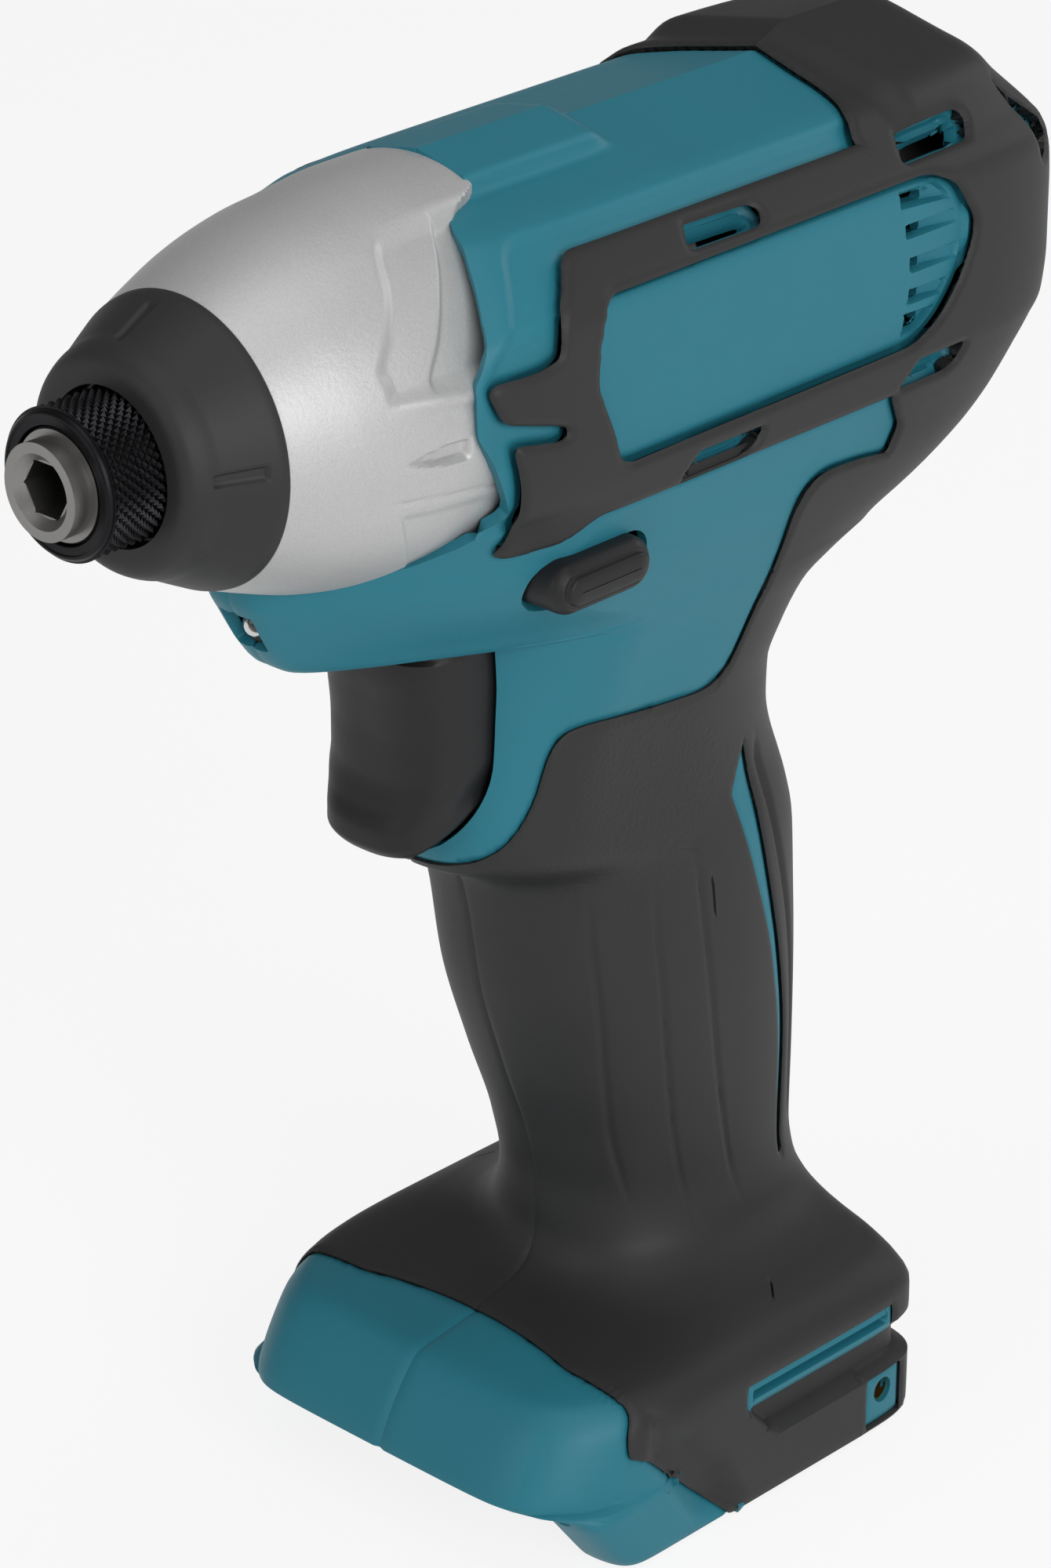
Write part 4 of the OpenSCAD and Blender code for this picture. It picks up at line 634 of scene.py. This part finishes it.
class Finish:
    """A material built from nodes on Object coordinates in metres."""

    def __init__(self, name):
        self.material = bpy.data.materials.new(name)
        self.material.use_nodes = True
        self.tree = self.material.node_tree
        self.tree.nodes.clear()
        self.out = self.node("ShaderNodeOutputMaterial")
        self.shader = self.node("ShaderNodeBsdfPrincipled")
        self.tree.links.new(self.shader.outputs[0], self.out.inputs[0])
        self.place = self.node("ShaderNodeTexCoord").outputs["Object"]

    def feed(self, socket, value):
        """Links a socket to another one, or sets its value."""
        value = getattr(value, "socket", value)
        if isinstance(value, bpy.types.NodeSocket):
            self.tree.links.new(value, socket)
        else:
            socket.default_value = value

    def node(self, kind, settings=None, inputs=None):
        """Adds a node, sets its settings and then the values or links of its sockets."""
        node = self.tree.nodes.new(kind)
        for key, value in (settings or {}).items():
            setattr(node, key, value)
        for key, value in (inputs or {}).items():
            self.feed(node.inputs[key], value)
        return node

    def axes(self):
        """The three Object coordinates as values in metres."""
        parts = self.node("ShaderNodeSeparateXYZ", None, {0: self.place})
        return [Tone(self, socket) for socket in parts.outputs]

    def noise(self, scale, detail=2.0, rough=0.5, place=None):
        """Noise value from 0 to 1 with a scale per metre."""
        node = self.node("ShaderNodeTexNoise", None, {
            "Vector": place or self.place, "Scale": scale, "Detail": detail, "Roughness": rough})
        return Tone(self, node.outputs["Fac"])

    def stretched(self, scale):
        """Object coordinates scaled by a different amount along each axis."""
        return self.node("ShaderNodeMapping", None, {"Vector": self.place, "Scale": scale}).outputs[0]

    def tint(self, amount, colour, low, high):
        """Colour that goes from low times a colour to high times it with a value."""
        node = self.node("ShaderNodeMix", {"data_type": "RGBA"}, {
            0: amount, 6: shade(colour, low), 7: shade(colour, high)})
        return node.outputs[2]

    def bump(self, height, strength, distance):
        """Normal from a height value in metres times distance."""
        return self.node("ShaderNodeBump", None, {
            "Height": height, "Strength": strength, "Distance": distance}).outputs[0]

    def seen_by(self, first, *others):
        """One for the named kinds of ray, else nought."""
        path = self.node("ShaderNodeLightPath")
        seen = Tone(self, path.outputs[first])
        for kind in others:
            seen = seen.most(Tone(self, path.outputs[kind]))
        return seen

    def set(self, **sockets):
        """Sets or links sockets of the main shader by name with underscores for spaces."""
        for key, value in sockets.items():
            self.feed(self.shader.inputs[key.replace("_", " ")], value)
        return self.material


class Surround(Finish):
    """The node tree of a world, emptied."""

    def __init__(self, world):
        world.use_nodes = True
        self.tree = world.node_tree
        self.tree.nodes.clear()


def shade(colour, factor):
    """A colour with its three parts times a factor."""
    return tuple(min(1.0, c * factor) for c in colour[:3]) + (1.0,)


def moulded_plastic(name, colour):
    """Hard moulded plastic: fine spark grain, faint flow clouds and slightly varied gloss."""
    f = Finish(name)
    grain = f.noise(3800, 3.0, 0.6)
    cloud = f.noise(55, 3.0)
    rub = f.noise(420, 4.0)
    return f.set(Base_Color=f.tint(cloud * 0.6 + grain * 0.4, colour, 0.93, 1.08),
                 Roughness=0.36 + 0.14 * grain + 0.08 * rub, Specular_IOR_Level=0.3,
                 Normal=f.bump(grain, 0.22, 0.00009))


def overmould(name, colour):
    """Soft elastomer: matt, fine pebbled grain, with a coarser stippled patch high on the grip's sides."""
    f = Finish(name)
    _, y, z = f.axes()
    grain = f.noise(4600, 3.0, 0.6)
    cloud = f.noise(70, 3.0)
    y_mid, z_mid = (80 + TIP) * MM, (AXIS - 60) * MM
    patch = ((y - y_mid).size() * 0.9 + (z - z_mid).size() * 0.9).ramp(0.0185, 0.0165)
    stipple = f.node("ShaderNodeTexVoronoi", None, {"Vector": f.place, "Scale": 1500.0})
    dots = Tone(f, stipple.outputs["Distance"]) * patch
    return f.set(Base_Color=f.tint(cloud * 0.7 + grain * 0.3, colour, 0.85, 1.2),
                 Roughness=0.46 + 0.12 * grain + 0.06 * cloud, Specular_IOR_Level=0.35,
                 Normal=f.bump(grain * 0.6 + dots * 1.4, 0.3, 0.00012))


def cast_metal(name, colour):
    """Painted casting: silver flake sparkle over a pebbled skin."""
    f = Finish(name)
    flake = f.noise(5200, 2.0, 0.7)
    pebble = f.noise(1500, 3.0, 0.55)
    cloud = f.noise(60, 2.0)
    sparkle = (flake - 0.5) * 1.6 + 0.5 + (cloud - 0.5) * 0.4
    return f.set(Base_Color=f.tint(sparkle, colour, 0.84, 1.14),
                 Metallic=0.35 + 0.25 * flake, Roughness=0.42 + 0.16 * flake,
                 Normal=f.bump(pebble * 0.7 + flake * 0.3, 0.3, 0.00016))


def turned_metal(name, colour, rough, lines=0.25):
    """Machined metal: fine turning lines round the bit axis and faint stains."""
    f = Finish(name)
    lathe = f.noise(1.0, 3.0, 0.6, f.stretched((90.0, 9000.0, 90.0)))
    stain = f.noise(160, 3.0)
    return f.set(Base_Color=f.tint(stain, colour, 0.82, 1.1), Metallic=1.0,
                 Roughness=rough + 0.16 * lathe + 0.06 * stain, Normal=f.bump(lathe, lines, 0.00006))


def plain_metal(name, colour, rough, metal=1.0):
    """Bulk metal or sintered magnet: fine grain and soft stains."""
    f = Finish(name)
    grain = f.noise(2600, 3.0, 0.6)
    stain = f.noise(140, 3.0)
    return f.set(Base_Color=f.tint(stain * 0.7 + grain * 0.3, colour, 0.8, 1.12), Metallic=metal,
                 Roughness=rough + 0.18 * grain, Normal=f.bump(grain, 0.2, 0.00008))


def wound_copper(name, colour):
    """Enamelled wire: close turns along the rotor and a lacquer gloss, with painted shade that darkens the colour
    in the valleys between the turns.
    """
    f = Finish(name)
    wave = f.node("ShaderNodeTexWave", {"bands_direction": "X"}, {
        "Vector": f.stretched((1.0, 0.4, 1.0)), "Scale": 620.0, "Distortion": 1.2, "Detail": 1.0})
    turn = Tone(f, wave.outputs["Fac"])
    # The same wave sets the colour, so the valleys between turns carry painted shade down to 0.45 of the copper
    # colour.
    return f.set(Base_Color=f.tint(turn, colour, 0.45, 1.1), Metallic=0.9,
                 Roughness=0.3 + 0.15 * turn, Normal=f.bump(turn, 0.5, 0.0003))


def lamp_glass(name, colour):
    """Moulded lens of the work lamp: clear dome with a faintly mottled glow body behind it."""
    f = Finish(name)
    mottle = f.noise(900, 2.0)
    return f.set(Base_Color=f.tint(mottle, colour, 0.8, 1.05), Roughness=0.08 + 0.06 * mottle,
                 Transmission_Weight=0.55, IOR=1.49)


SLOT_FINISH = {
    "housing_plastic": lambda c: moulded_plastic("hard housing", tuple(c.housing)),
    "elastomer": lambda c: overmould("soft overmould", tuple(c.overmould)),
    "cast_case": lambda c: cast_metal("cast case", tuple(c.case)),
    "black_oxide": lambda c: turned_metal("black oxide", (0.02, 0.02, 0.022), 0.3, 0.2),
    "steel": lambda c: turned_metal("turned steel", (0.27, 0.265, 0.255), 0.3),
    "bronze": lambda c: plain_metal("sintered bronze", (0.42, 0.27, 0.12), 0.34),
    "copper": lambda c: wound_copper("wound copper", (0.6, 0.24, 0.1)),
    "brass": lambda c: plain_metal("brass", (0.62, 0.45, 0.17), 0.26),
    "ferrite": lambda c: plain_metal("ferrite", (0.05, 0.05, 0.055), 0.6, 0.0),
    "black_plastic": lambda c: moulded_plastic("black plastic", tuple(c.controls)),
    "lens": lambda c: lamp_glass("lamp lens", (0.12, 0.12, 0.11)),
    "wire_cover": lambda c: moulded_plastic("wire cover", (0.3, 0.02, 0.02)),
}
FINISHES = {}


def dress(piece, slot):
    """Puts a slot's finish on a piece, making it when it is first asked for."""
    if slot not in FINISHES:
        FINISHES[slot] = SLOT_FINISH[slot](bpy.context.scene.driver_colours)
    piece.data.materials.clear()
    piece.data.materials.append(FINISHES[slot])
    return piece


def put_rings(name, rings, body, slot, node, crease=40.0, closed=False):
    """Dressed piece of rings of points that stands for a node; closed joins the last ring to the first."""
    count, columns = rings.shape[:2]
    faces = grid_faces(count + closed, columns, True) % (count * columns)
    return dress(put_mesh(name, rings.reshape(-1, 3), faces[:, ::-1], body, [node], crease), slot)


# Settings

def colour_setting(name, what, default):
    """Colour that a user would change."""
    return bpy.props.FloatVectorProperty(
        name=name, description=f"Colour of {what}", subtype="COLOR", size=3, min=0, max=1, default=default)


class DriverColours(bpy.types.PropertyGroup):
    """Colours a user would change."""
    housing: colour_setting("Housing", "the hard housing", (0.019, 0.175, 0.235))
    overmould: colour_setting("Overmould", "the soft overmould", (0.021, 0.021, 0.021))
    case: colour_setting("Case", "the cast nose case", (0.52, 0.52, 0.52))
    controls: colour_setting("Controls", "the trigger and lever", (0.014, 0.014, 0.015))


class DriverSizes(bpy.types.PropertyGroup):
    """Sizes of the dress that a user would change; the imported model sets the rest."""
    wall: bpy.props.FloatProperty(
        name="Skin wall", description="Wall of the moulded skins", subtype="DISTANCE", unit="LENGTH",
        default=1.5 * MM, min=0.8 * MM, max=2.0 * MM)
    knurl: bpy.props.IntProperty(
        name="Knurl starts", description="Number of diamond points round the bit sleeve",
        default=44, min=24, max=48)
    mark_depth: bpy.props.FloatProperty(
        name="Bumper marks", description="Depth of the marks in the bumper", subtype="DISTANCE",
        unit="LENGTH", default=0.5 * MM, min=0, max=0.8 * MM)


# Pieces

class DRIVER_OT_shells(bpy.types.Operator):
    """Builds the hard skins and the soft overmould of both halves"""
    bl_idname = "driver.shells"
    bl_label = "Body shells"

    def execute(self, context):
        wall = context.scene.driver_sizes.wall / MM
        kinds = (("housing", "housing_plastic"), ("grip", "elastomer"))
        sides = (("left", 1, [0, 1, 2]), ("right", -1, [0, 2, 1]))
        for (points, faces), (node, slot) in zip(body_skins(), kinds):
            for side, sign, order in sides:
                name = f"{node}_{side}"
                place = points * np.array([sign, 1, 1])
                skin = put_mesh(f"{name}_skin", place, faces[:, order], "body", [name], 50)
                dress(thicken(skin, wall), slot)
        return {"FINISHED"}


def case_radius(y, angle):
    """Radius of the nose case: its bell with cast relief, dropping away under the housing's front edge."""
    deg = np.degrees(angle)
    deg = np.where(np.abs(deg) > 90, np.sign(deg) * (180 - np.abs(deg)), deg)
    edge = glide(deg, NOSE_EDGE[:, 0], NOSE_EDGE[:, 1])
    r = bell_radius(y)
    crease = glide(deg, (14, 21.2, 25.8, 34.6, 47.3, 56.7, 66), (33.5, 33.8, 33.4, 35.5, 38.5, 40.2, 42.5))
    step = glide(deg, (14, 21.2, 28.6, 40.7, 51.9, 62), (39.4, 40.6, 42.7, 45.8, 48.6, 51))
    band = smooth((deg - 15) / 5) * smooth((67 - deg) / 8)
    r -= band * (0.75 * smooth((y - crease) / 2.2) + 0.55 * smooth((y - step) / 0.8))
    r += 0.5 * smooth((y - 40) / 14) * smooth((deg - 60) / 8)
    swell = smooth((y - 33.5) / 8)
    ridge = 14.2 - 0.25 * (y - 40)
    r += 0.6 * swell * smooth((deg - ridge + 4.5) / 4) * smooth((ridge + 3 - deg) / 3)
    wide = 0.6 + 2.6 * swell
    r -= 1.1 * swell * smooth((44.8 - y) / 0.9) * smooth((wide - np.abs(deg + 2.6)) / 1.6)
    r -= 0.22 * np.exp(-((deg + 15.3 + 0.14 * (y - 36)) / 0.7) ** 2) * smooth((y - 33) / 3)
    lip = glide(deg, (-62, -59, -39.3, -25, -20), (44.6, 44, 39.5, 36.4, 35.5))
    r -= 0.3 * smooth((y - lip) / 0.9) * smooth((-19 - deg) / 4)
    hidden = edge + 0.3 + 3.0 * smooth((58 - deg) / 12) * smooth((deg + 50) / 8)
    return r - 2.6 * smooth((y - hidden) / 1.6)


def case_rings(angle):
    """Nose case: rings along the bit axis with the radius of case_radius, then its stepped bore."""
    y, around = np.meshgrid(np.linspace(21.55, 61.8, 160), angle, indexing="ij")
    r = case_radius(y, around)
    shell = np.stack([r * np.cos(around), y, r * np.sin(around)], axis=-1)
    bore = [(62, 21.4), (62, 20.4), (34, 19), (33, 9.4), (14, 9.4), (14, 11.2), (21.4, 11.2), (21.5, 17.6)]
    return np.concatenate([shell, turned(bore, angle)])


def bumper_rings(angle, depth):
    """Bumper: a profile turned about the bit axis, with four bars sunk in it, then its stepped bore."""
    outline = softened(
        [(10.4, 9.7), (10.4, 12), (11, 13.2), (12.6, 14.1), (14.4, 14.6), (17.5, 16.2), (20.6, 17.75),
         (21.7, 17.9)], [0.1, 0.8, 0.7, 0.8, 0.35, 1, 0.6, 0.1], 6)
    outer = resample(outline, 0.3)
    y = outer[:, 0][:, None]
    turn = (np.degrees(angle) + 360) % 360
    long_way = smooth((y - 13.2) / 0.4) * smooth((19.4 - y) / 0.4)
    bars = np.zeros((len(outer), len(angle)))
    for at in (5.0, 95.0, 185.0, 275.0):
        off = np.radians(np.abs((turn - at + 180) % 360 - 180)) * 15.5
        bars = np.maximum(bars, smooth((0.85 - off) / 0.3) * long_way)
    bore = turned([(21.75, 17.2), (21.7, 13.3), (13.9, 13.3), (13.9, 9.7)], angle)
    return np.concatenate([drawn_in(turned(outer, angle), depth * bars), bore])


class DRIVER_OT_case(bpy.types.Operator):
    """Builds the cast nose case and its bumper"""
    bl_idname = "driver.case"
    bl_label = "Nose case and bumper"

    def execute(self, context):
        angle = angles(420, -np.pi)
        depth = context.scene.driver_sizes.mark_depth / MM
        put_rings("nose_case", case_rings(angle), "body", "cast_case", "hammer_case", closed=True)
        put_rings("nose_bumper", bumper_rings(angle, depth), "body", "elastomer", "bumper", closed=True)
        return {"FINISHED"}


def sleeve_rings(starts):
    """Bit sleeve: a profile turned about the bit axis, then its stepped bore. Its straight run is knurled.

    Two families of diagonal lines cross on it, and each point is cut the deeper the nearer a line is.
    """
    low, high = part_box("bit_sleeve")
    y0, y1, radius = low.y / MM - TIP, high.y / MM - TIP, high.x / MM
    angle = angles(starts * 8)
    run = np.linspace(y0 + 0.75, y1 - 0.5, 130)
    front = softened(
        [(y0 + 0.8, 6.3), (y0 + 0.8, 6.9), (y0 + 0.15, 7.1), (y0 + 0.15, 8.1), (y0, 8.2), (y0, radius - 0.7),
         (y0 + 0.35, radius - 0.4), (y0 + 0.7, radius - 0.35)], [0.1, 0.15, 0.15, 0.1, 0.1, 0.2, 0.2, 0.1], 4)
    straight = np.stack([run, np.full_like(run, radius - 0.05)], axis=1)
    outer = np.concatenate([front, straight, [(y1, radius - 0.4)]])
    y = outer[:, 0][:, None]
    pitch = 2 * np.pi * radius / starts
    one = np.abs(((angle[None] * radius + y) / pitch) % 1 - 0.5) * 2
    two = np.abs(((angle[None] * radius - y) / pitch) % 1 - 0.5) * 2
    valley = 1 - np.minimum(one, two)
    cut = KNURL_DEPTH * valley * smooth((y - run[0]) / 0.3) * smooth((run[-1] + 0.2 - y) / 0.4)
    bore = turned([(y1, 7.4), (y0 + 5.5, 7.4), (y0 + 5.2, 6.05), (y0 + 1.3, 6.05)], angle)
    return np.concatenate([drawn_in(turned(outer, angle), cut), bore])


class DRIVER_OT_chuck(bpy.types.Operator):
    """Builds the knurled bit sleeve"""
    bl_idname = "driver.chuck"
    bl_label = "Chuck"

    def execute(self, context):
        rings = sleeve_rings(context.scene.driver_sizes.knurl)
        put_rings("bit_sleeve_knurled", rings, "bit_sleeve", "black_oxide", "bit_sleeve", 35, True)
        return {"FINISHED"}


def trigger_rings():
    """Trigger blade: levels down its height, each half of a superellipse of power 3 with straight sides.

    The front follows a hollow curve, and the bottom rises to the sides and the back. The first and last
    levels close on the middle plane.
    """
    top, bottom, middle, back = 33.4, 62.5, 61, 69
    v = np.concatenate([np.linspace(0, 0.9, 70), np.linspace(0.905, 1, 24)])[:, None]
    drop = top + (bottom - top) * v
    front = glide(drop, (33.4, 35.1, 35.6, 38, 42, 48, 52, 56, 59, 60.6, 61.8, 62.3, 62.5),
                  (50.7, 50.6, 49.5, 49.7, 50.4, 51, 51, 50.1, 49, 48.9, 49.6, 50.6, 52))
    turn = np.linspace(-np.pi / 2, np.pi / 2, 81)[None]
    bend = 2 / 3.0
    half = 10.9 - 1.1 * smooth((drop - 54) / 6) - 0.8 * smooth((v - 0.95) / 0.05)
    x = half * np.sign(np.sin(turn)) * np.abs(np.sin(turn)) ** bend
    y = middle - (middle - front) * np.abs(np.cos(turn)) ** bend
    x = np.concatenate([x[:, :1], x, x[:, -1:]], axis=1)
    y = np.concatenate([np.full_like(v, back), y, np.full_like(v, back)], axis=1)
    lowest = bottom - 1.6 * (x / 11) ** 2 - 0.5 * np.clip(y - 51.5, 0, 10)
    rings = np.stack([x, y, -top - (lowest - top) * v], axis=-1)
    flat = np.array([0.0, 1, 1])
    return np.concatenate([rings[:1] * flat, rings, rings[-1:] * flat])


def lever_rings():
    """Direction lever: a profile of half heights along x, the same to both sides, swept round a slot shape.

    The slot shape is two half circles of the half height one straight run apart. A flange inside the
    housing covers the slots.
    """
    low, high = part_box("direction_lever")
    middle = np.array([0, (low.y + high.y) / 2 / MM - TIP, (low.z + high.z) / 2 / MM - AXIS])
    straight = (high.y - low.y - high.z + low.z) / 2 / MM
    tall = (high.z - low.z) / 2 / MM - 0.1
    reach = high.x / MM - 1.2
    step = softened(
        [(tall, 0), (tall, 15.2), (tall + 0.9, 15.3), (tall + 0.9, 17.2), (tall, 17.3), (tall, reach - 1.3),
         (tall - 1.0, reach - 0.2), (tall - 1.5, reach - 0.25), (tall - 1.7, reach + 0.4),
         (tall - 2.4, reach + 0.6), (0.05, reach + 0.7)],
        [0.1, 0.1, 0.1, 0.1, 0.1, 1.0, 0.2, 0.15, 0.2, 0.5, 0.1], 5)
    step = np.concatenate([step[::-1] * [1, -1], step[1:]])
    size, out = step[:, :1], step[:, 1:]
    turn = angles(72)
    lift = size * np.sin(turn)
    flange = 1.0 * (size > tall + 0.5)
    along = size * np.cos(turn) + (straight + flange) * np.sign(np.cos(turn))
    return np.stack([np.broadcast_to(out, lift.shape), along, lift], axis=-1) + middle


class DRIVER_OT_controls(bpy.types.Operator):
    """Builds the trigger and the direction lever"""
    bl_idname = "driver.controls"
    bl_label = "Controls"

    def execute(self, context):
        put_rings("trigger_blade", trigger_rings(), "trigger", "black_plastic", "trigger", 38)
        put_rings("lever_bar", lever_rings(), "direction_lever", "black_plastic", "direction_lever")
        return {"FINISHED"}


class DRIVER_OT_lamp(bpy.types.Operator):
    """Builds the work lamp's domed lens and the seat behind it, both turned about the lamp's own axis"""
    bl_idname = "driver.lamp"
    bl_label = "Work lamp"

    def execute(self, context):
        low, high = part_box("led_lamp")
        centre = np.array([0, 0, (low.z + high.z) / 2 / MM - AXIS])
        nose, end, r = low.y / MM - TIP + 2.1, high.y / MM - TIP, high.x / MM
        arc = np.linspace(0, np.pi / 2, 12)
        dome = np.stack([nose + r * (1 - np.cos(arc)), np.maximum(r * np.sin(arc), 0.02)], axis=1)
        lens = np.concatenate([dome, [(end, r), (end, 0.02)]])
        _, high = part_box("led_holder")
        back, wide = high.y / MM - TIP, high.x / MM
        seat = softened(
            [(end - 0.4, 0.05), (end - 0.4, r + 0.5), (end + 2.5, r + 0.7), (back, wide - 1.5), (back, 0.05)],
            [0.1, 0.3, 0.5, 0.3, 0.1])
        put_rings("lamp_lens", turned(lens, angles(40)) + centre, "body", "lens", "led_lamp")
        put_rings("lamp_seat", turned(seat, angles(40)) + centre, "body", "black_plastic", "led_holder")
        return {"FINISHED"}


class DRIVER_OT_cad_finish(bpy.types.Operator):
    """Gives every carried-over node the finish of its slot"""
    bl_idname = "driver.cad_finish"
    bl_label = "Inner finishes"

    def execute(self, context):
        slots = {part["node"]: part["material_slot"] for part in frame["record"]["subparts"]}
        for name, piece in frame["nodes"].items():
            if name not in slots:
                raise RuntimeError(f"{name} has no material slot in the record")
            dress(piece, slots[name])
        return {"FINISHED"}


# Stage

def lay_floor(context):
    """Pale floor that looks nearly white to the camera and still shows the shadow."""
    edge = 12 * np.array([[-1, -1], [1, -1], [1, 1], [-1, 1]], float)
    mesh = bpy.data.meshes.new("floor")
    mesh.from_pydata(np.column_stack([edge, np.full(4, -0.0002)]), [], [[0, 1, 2, 3]])
    floor = bpy.data.objects.new("floor", mesh)
    context.collection.objects.link(floor)
    f = Finish("pale floor")
    f.set(Base_Color=f.tint(f.noise(30, 2.0), (1, 1, 1), 0.82, 0.84), Roughness=0.9)
    seen = f.seen_by("Is Camera Ray", "Is Glossy Ray", "Is Transmission Ray")
    glow = f.node("ShaderNodeEmission", None, {"Color": (1, 1, 1, 1), "Strength": 1.0})
    mix = f.node("ShaderNodeMixShader", None, {
        0: seen * 0.86, 1: f.shader.outputs[0], 2: glow.outputs[0]})
    f.feed(f.out.inputs[0], mix.outputs[0])
    mesh.materials.append(f.material)


def white_world(scene):
    """Surroundings that are white to the camera and through glass, and dim as a light."""
    world = bpy.data.worlds.new("white surroundings")
    f = Surround(world)
    glow = f.seen_by("Is Camera Ray", "Is Transmission Ray") * 0.8 + 0.2
    back = f.node("ShaderNodeBackground", None, {"Color": (1, 1, 1, 1), "Strength": glow})
    f.node("ShaderNodeOutputWorld", None, {"Surface": back.outputs[0]})
    scene.world = world


def hang_lights(context):
    """Four soft area lights turned to the middle of the tool."""
    middle = Vector((0, 0, 0.1))
    lamps = (("key", (1.1, -0.35, 0.6), 0.8, 9.5), ("front", (-0.15, -1.1, 0.6), 0.7, 2.6),
             ("top", (0.1, -0.1, 1.2), 0.8, 3.2), ("rim", (0.3, 1.0, 0.6), 0.5, 2.0))
    for name, at, size, power in lamps:
        lamp = bpy.data.lights.new(name, "AREA")
        lamp.size = size
        lamp.energy = power
        light = bpy.data.objects.new(name, lamp)
        aim = (Vector(at) - middle).to_track_quat("Z", "Y").to_matrix().to_4x4()
        light.matrix_world = Matrix.Translation(at) @ aim
        context.collection.objects.link(light)


def place_camera(context):
    """Camera fitted to the photograph."""
    view = bpy.data.cameras.new("photo view")
    view.lens = 130.78
    view.sensor_width = 36.0
    view.sensor_fit = "AUTO"
    view.clip_start = 0.01
    camera = bpy.data.objects.new("photo view", view)
    right = Vector((0.7237, 0.6901, 0))
    up = Vector((-0.2970, 0.3115, 0.9026))
    ahead = Vector((-0.6229, 0.6532, -0.4304))
    turn = Matrix((right, up, -ahead)).transposed().to_4x4()
    camera.matrix_world = Matrix.Translation((0.4440, -0.4637, 0.4028)) @ turn
    context.collection.objects.link(camera)
    context.scene.camera = camera


class DRIVER_OT_stage(bpy.types.Operator):
    """Sets the pale floor, the soft lights, the white surroundings and the camera"""
    bl_idname = "driver.stage"
    bl_label = "Stage"

    def execute(self, context):
        context.scene.view_settings.view_transform = "Standard"
        lay_floor(context)
        white_world(context.scene)
        hang_lights(context)
        place_camera(context)
        return {"FINISHED"}


STEPS = (DRIVER_OT_stage, DRIVER_OT_cad_finish, DRIVER_OT_shells, DRIVER_OT_case, DRIVER_OT_chuck,
         DRIVER_OT_controls, DRIVER_OT_lamp)


class DRIVER_PT_panel(bpy.types.Panel):
    """Lists the settings and the pieces"""
    bl_idname = "DRIVER_PT_panel"
    bl_label = "Impact Driver"
    bl_space_type = "VIEW_3D"
    bl_region_type = "UI"
    bl_category = "Driver"

    def draw(self, context):
        scene = context.scene
        for group in (scene.driver_colours, scene.driver_sizes):
            for key in group.__annotations__:
                self.layout.prop(group, key)
        for step in STEPS:
            self.layout.operator(step.bl_idname)


CLASSES = (DriverColours, DriverSizes) + STEPS + (DRIVER_PT_panel,)


def register():
    for item in CLASSES:
        bpy.utils.register_class(item)
    bpy.types.Scene.driver_colours = bpy.props.PointerProperty(type=DriverColours)
    bpy.types.Scene.driver_sizes = bpy.props.PointerProperty(type=DriverSizes)


def unregister():
    del bpy.types.Scene.driver_sizes
    del bpy.types.Scene.driver_colours
    for item in reversed(CLASSES):
        bpy.utils.unregister_class(item)


def main():
    register()
    for step in STEPS:
        group, name = step.bl_idname.split(".")
        getattr(getattr(bpy.ops, group), name)()


if __name__ == "__main__":
    main()
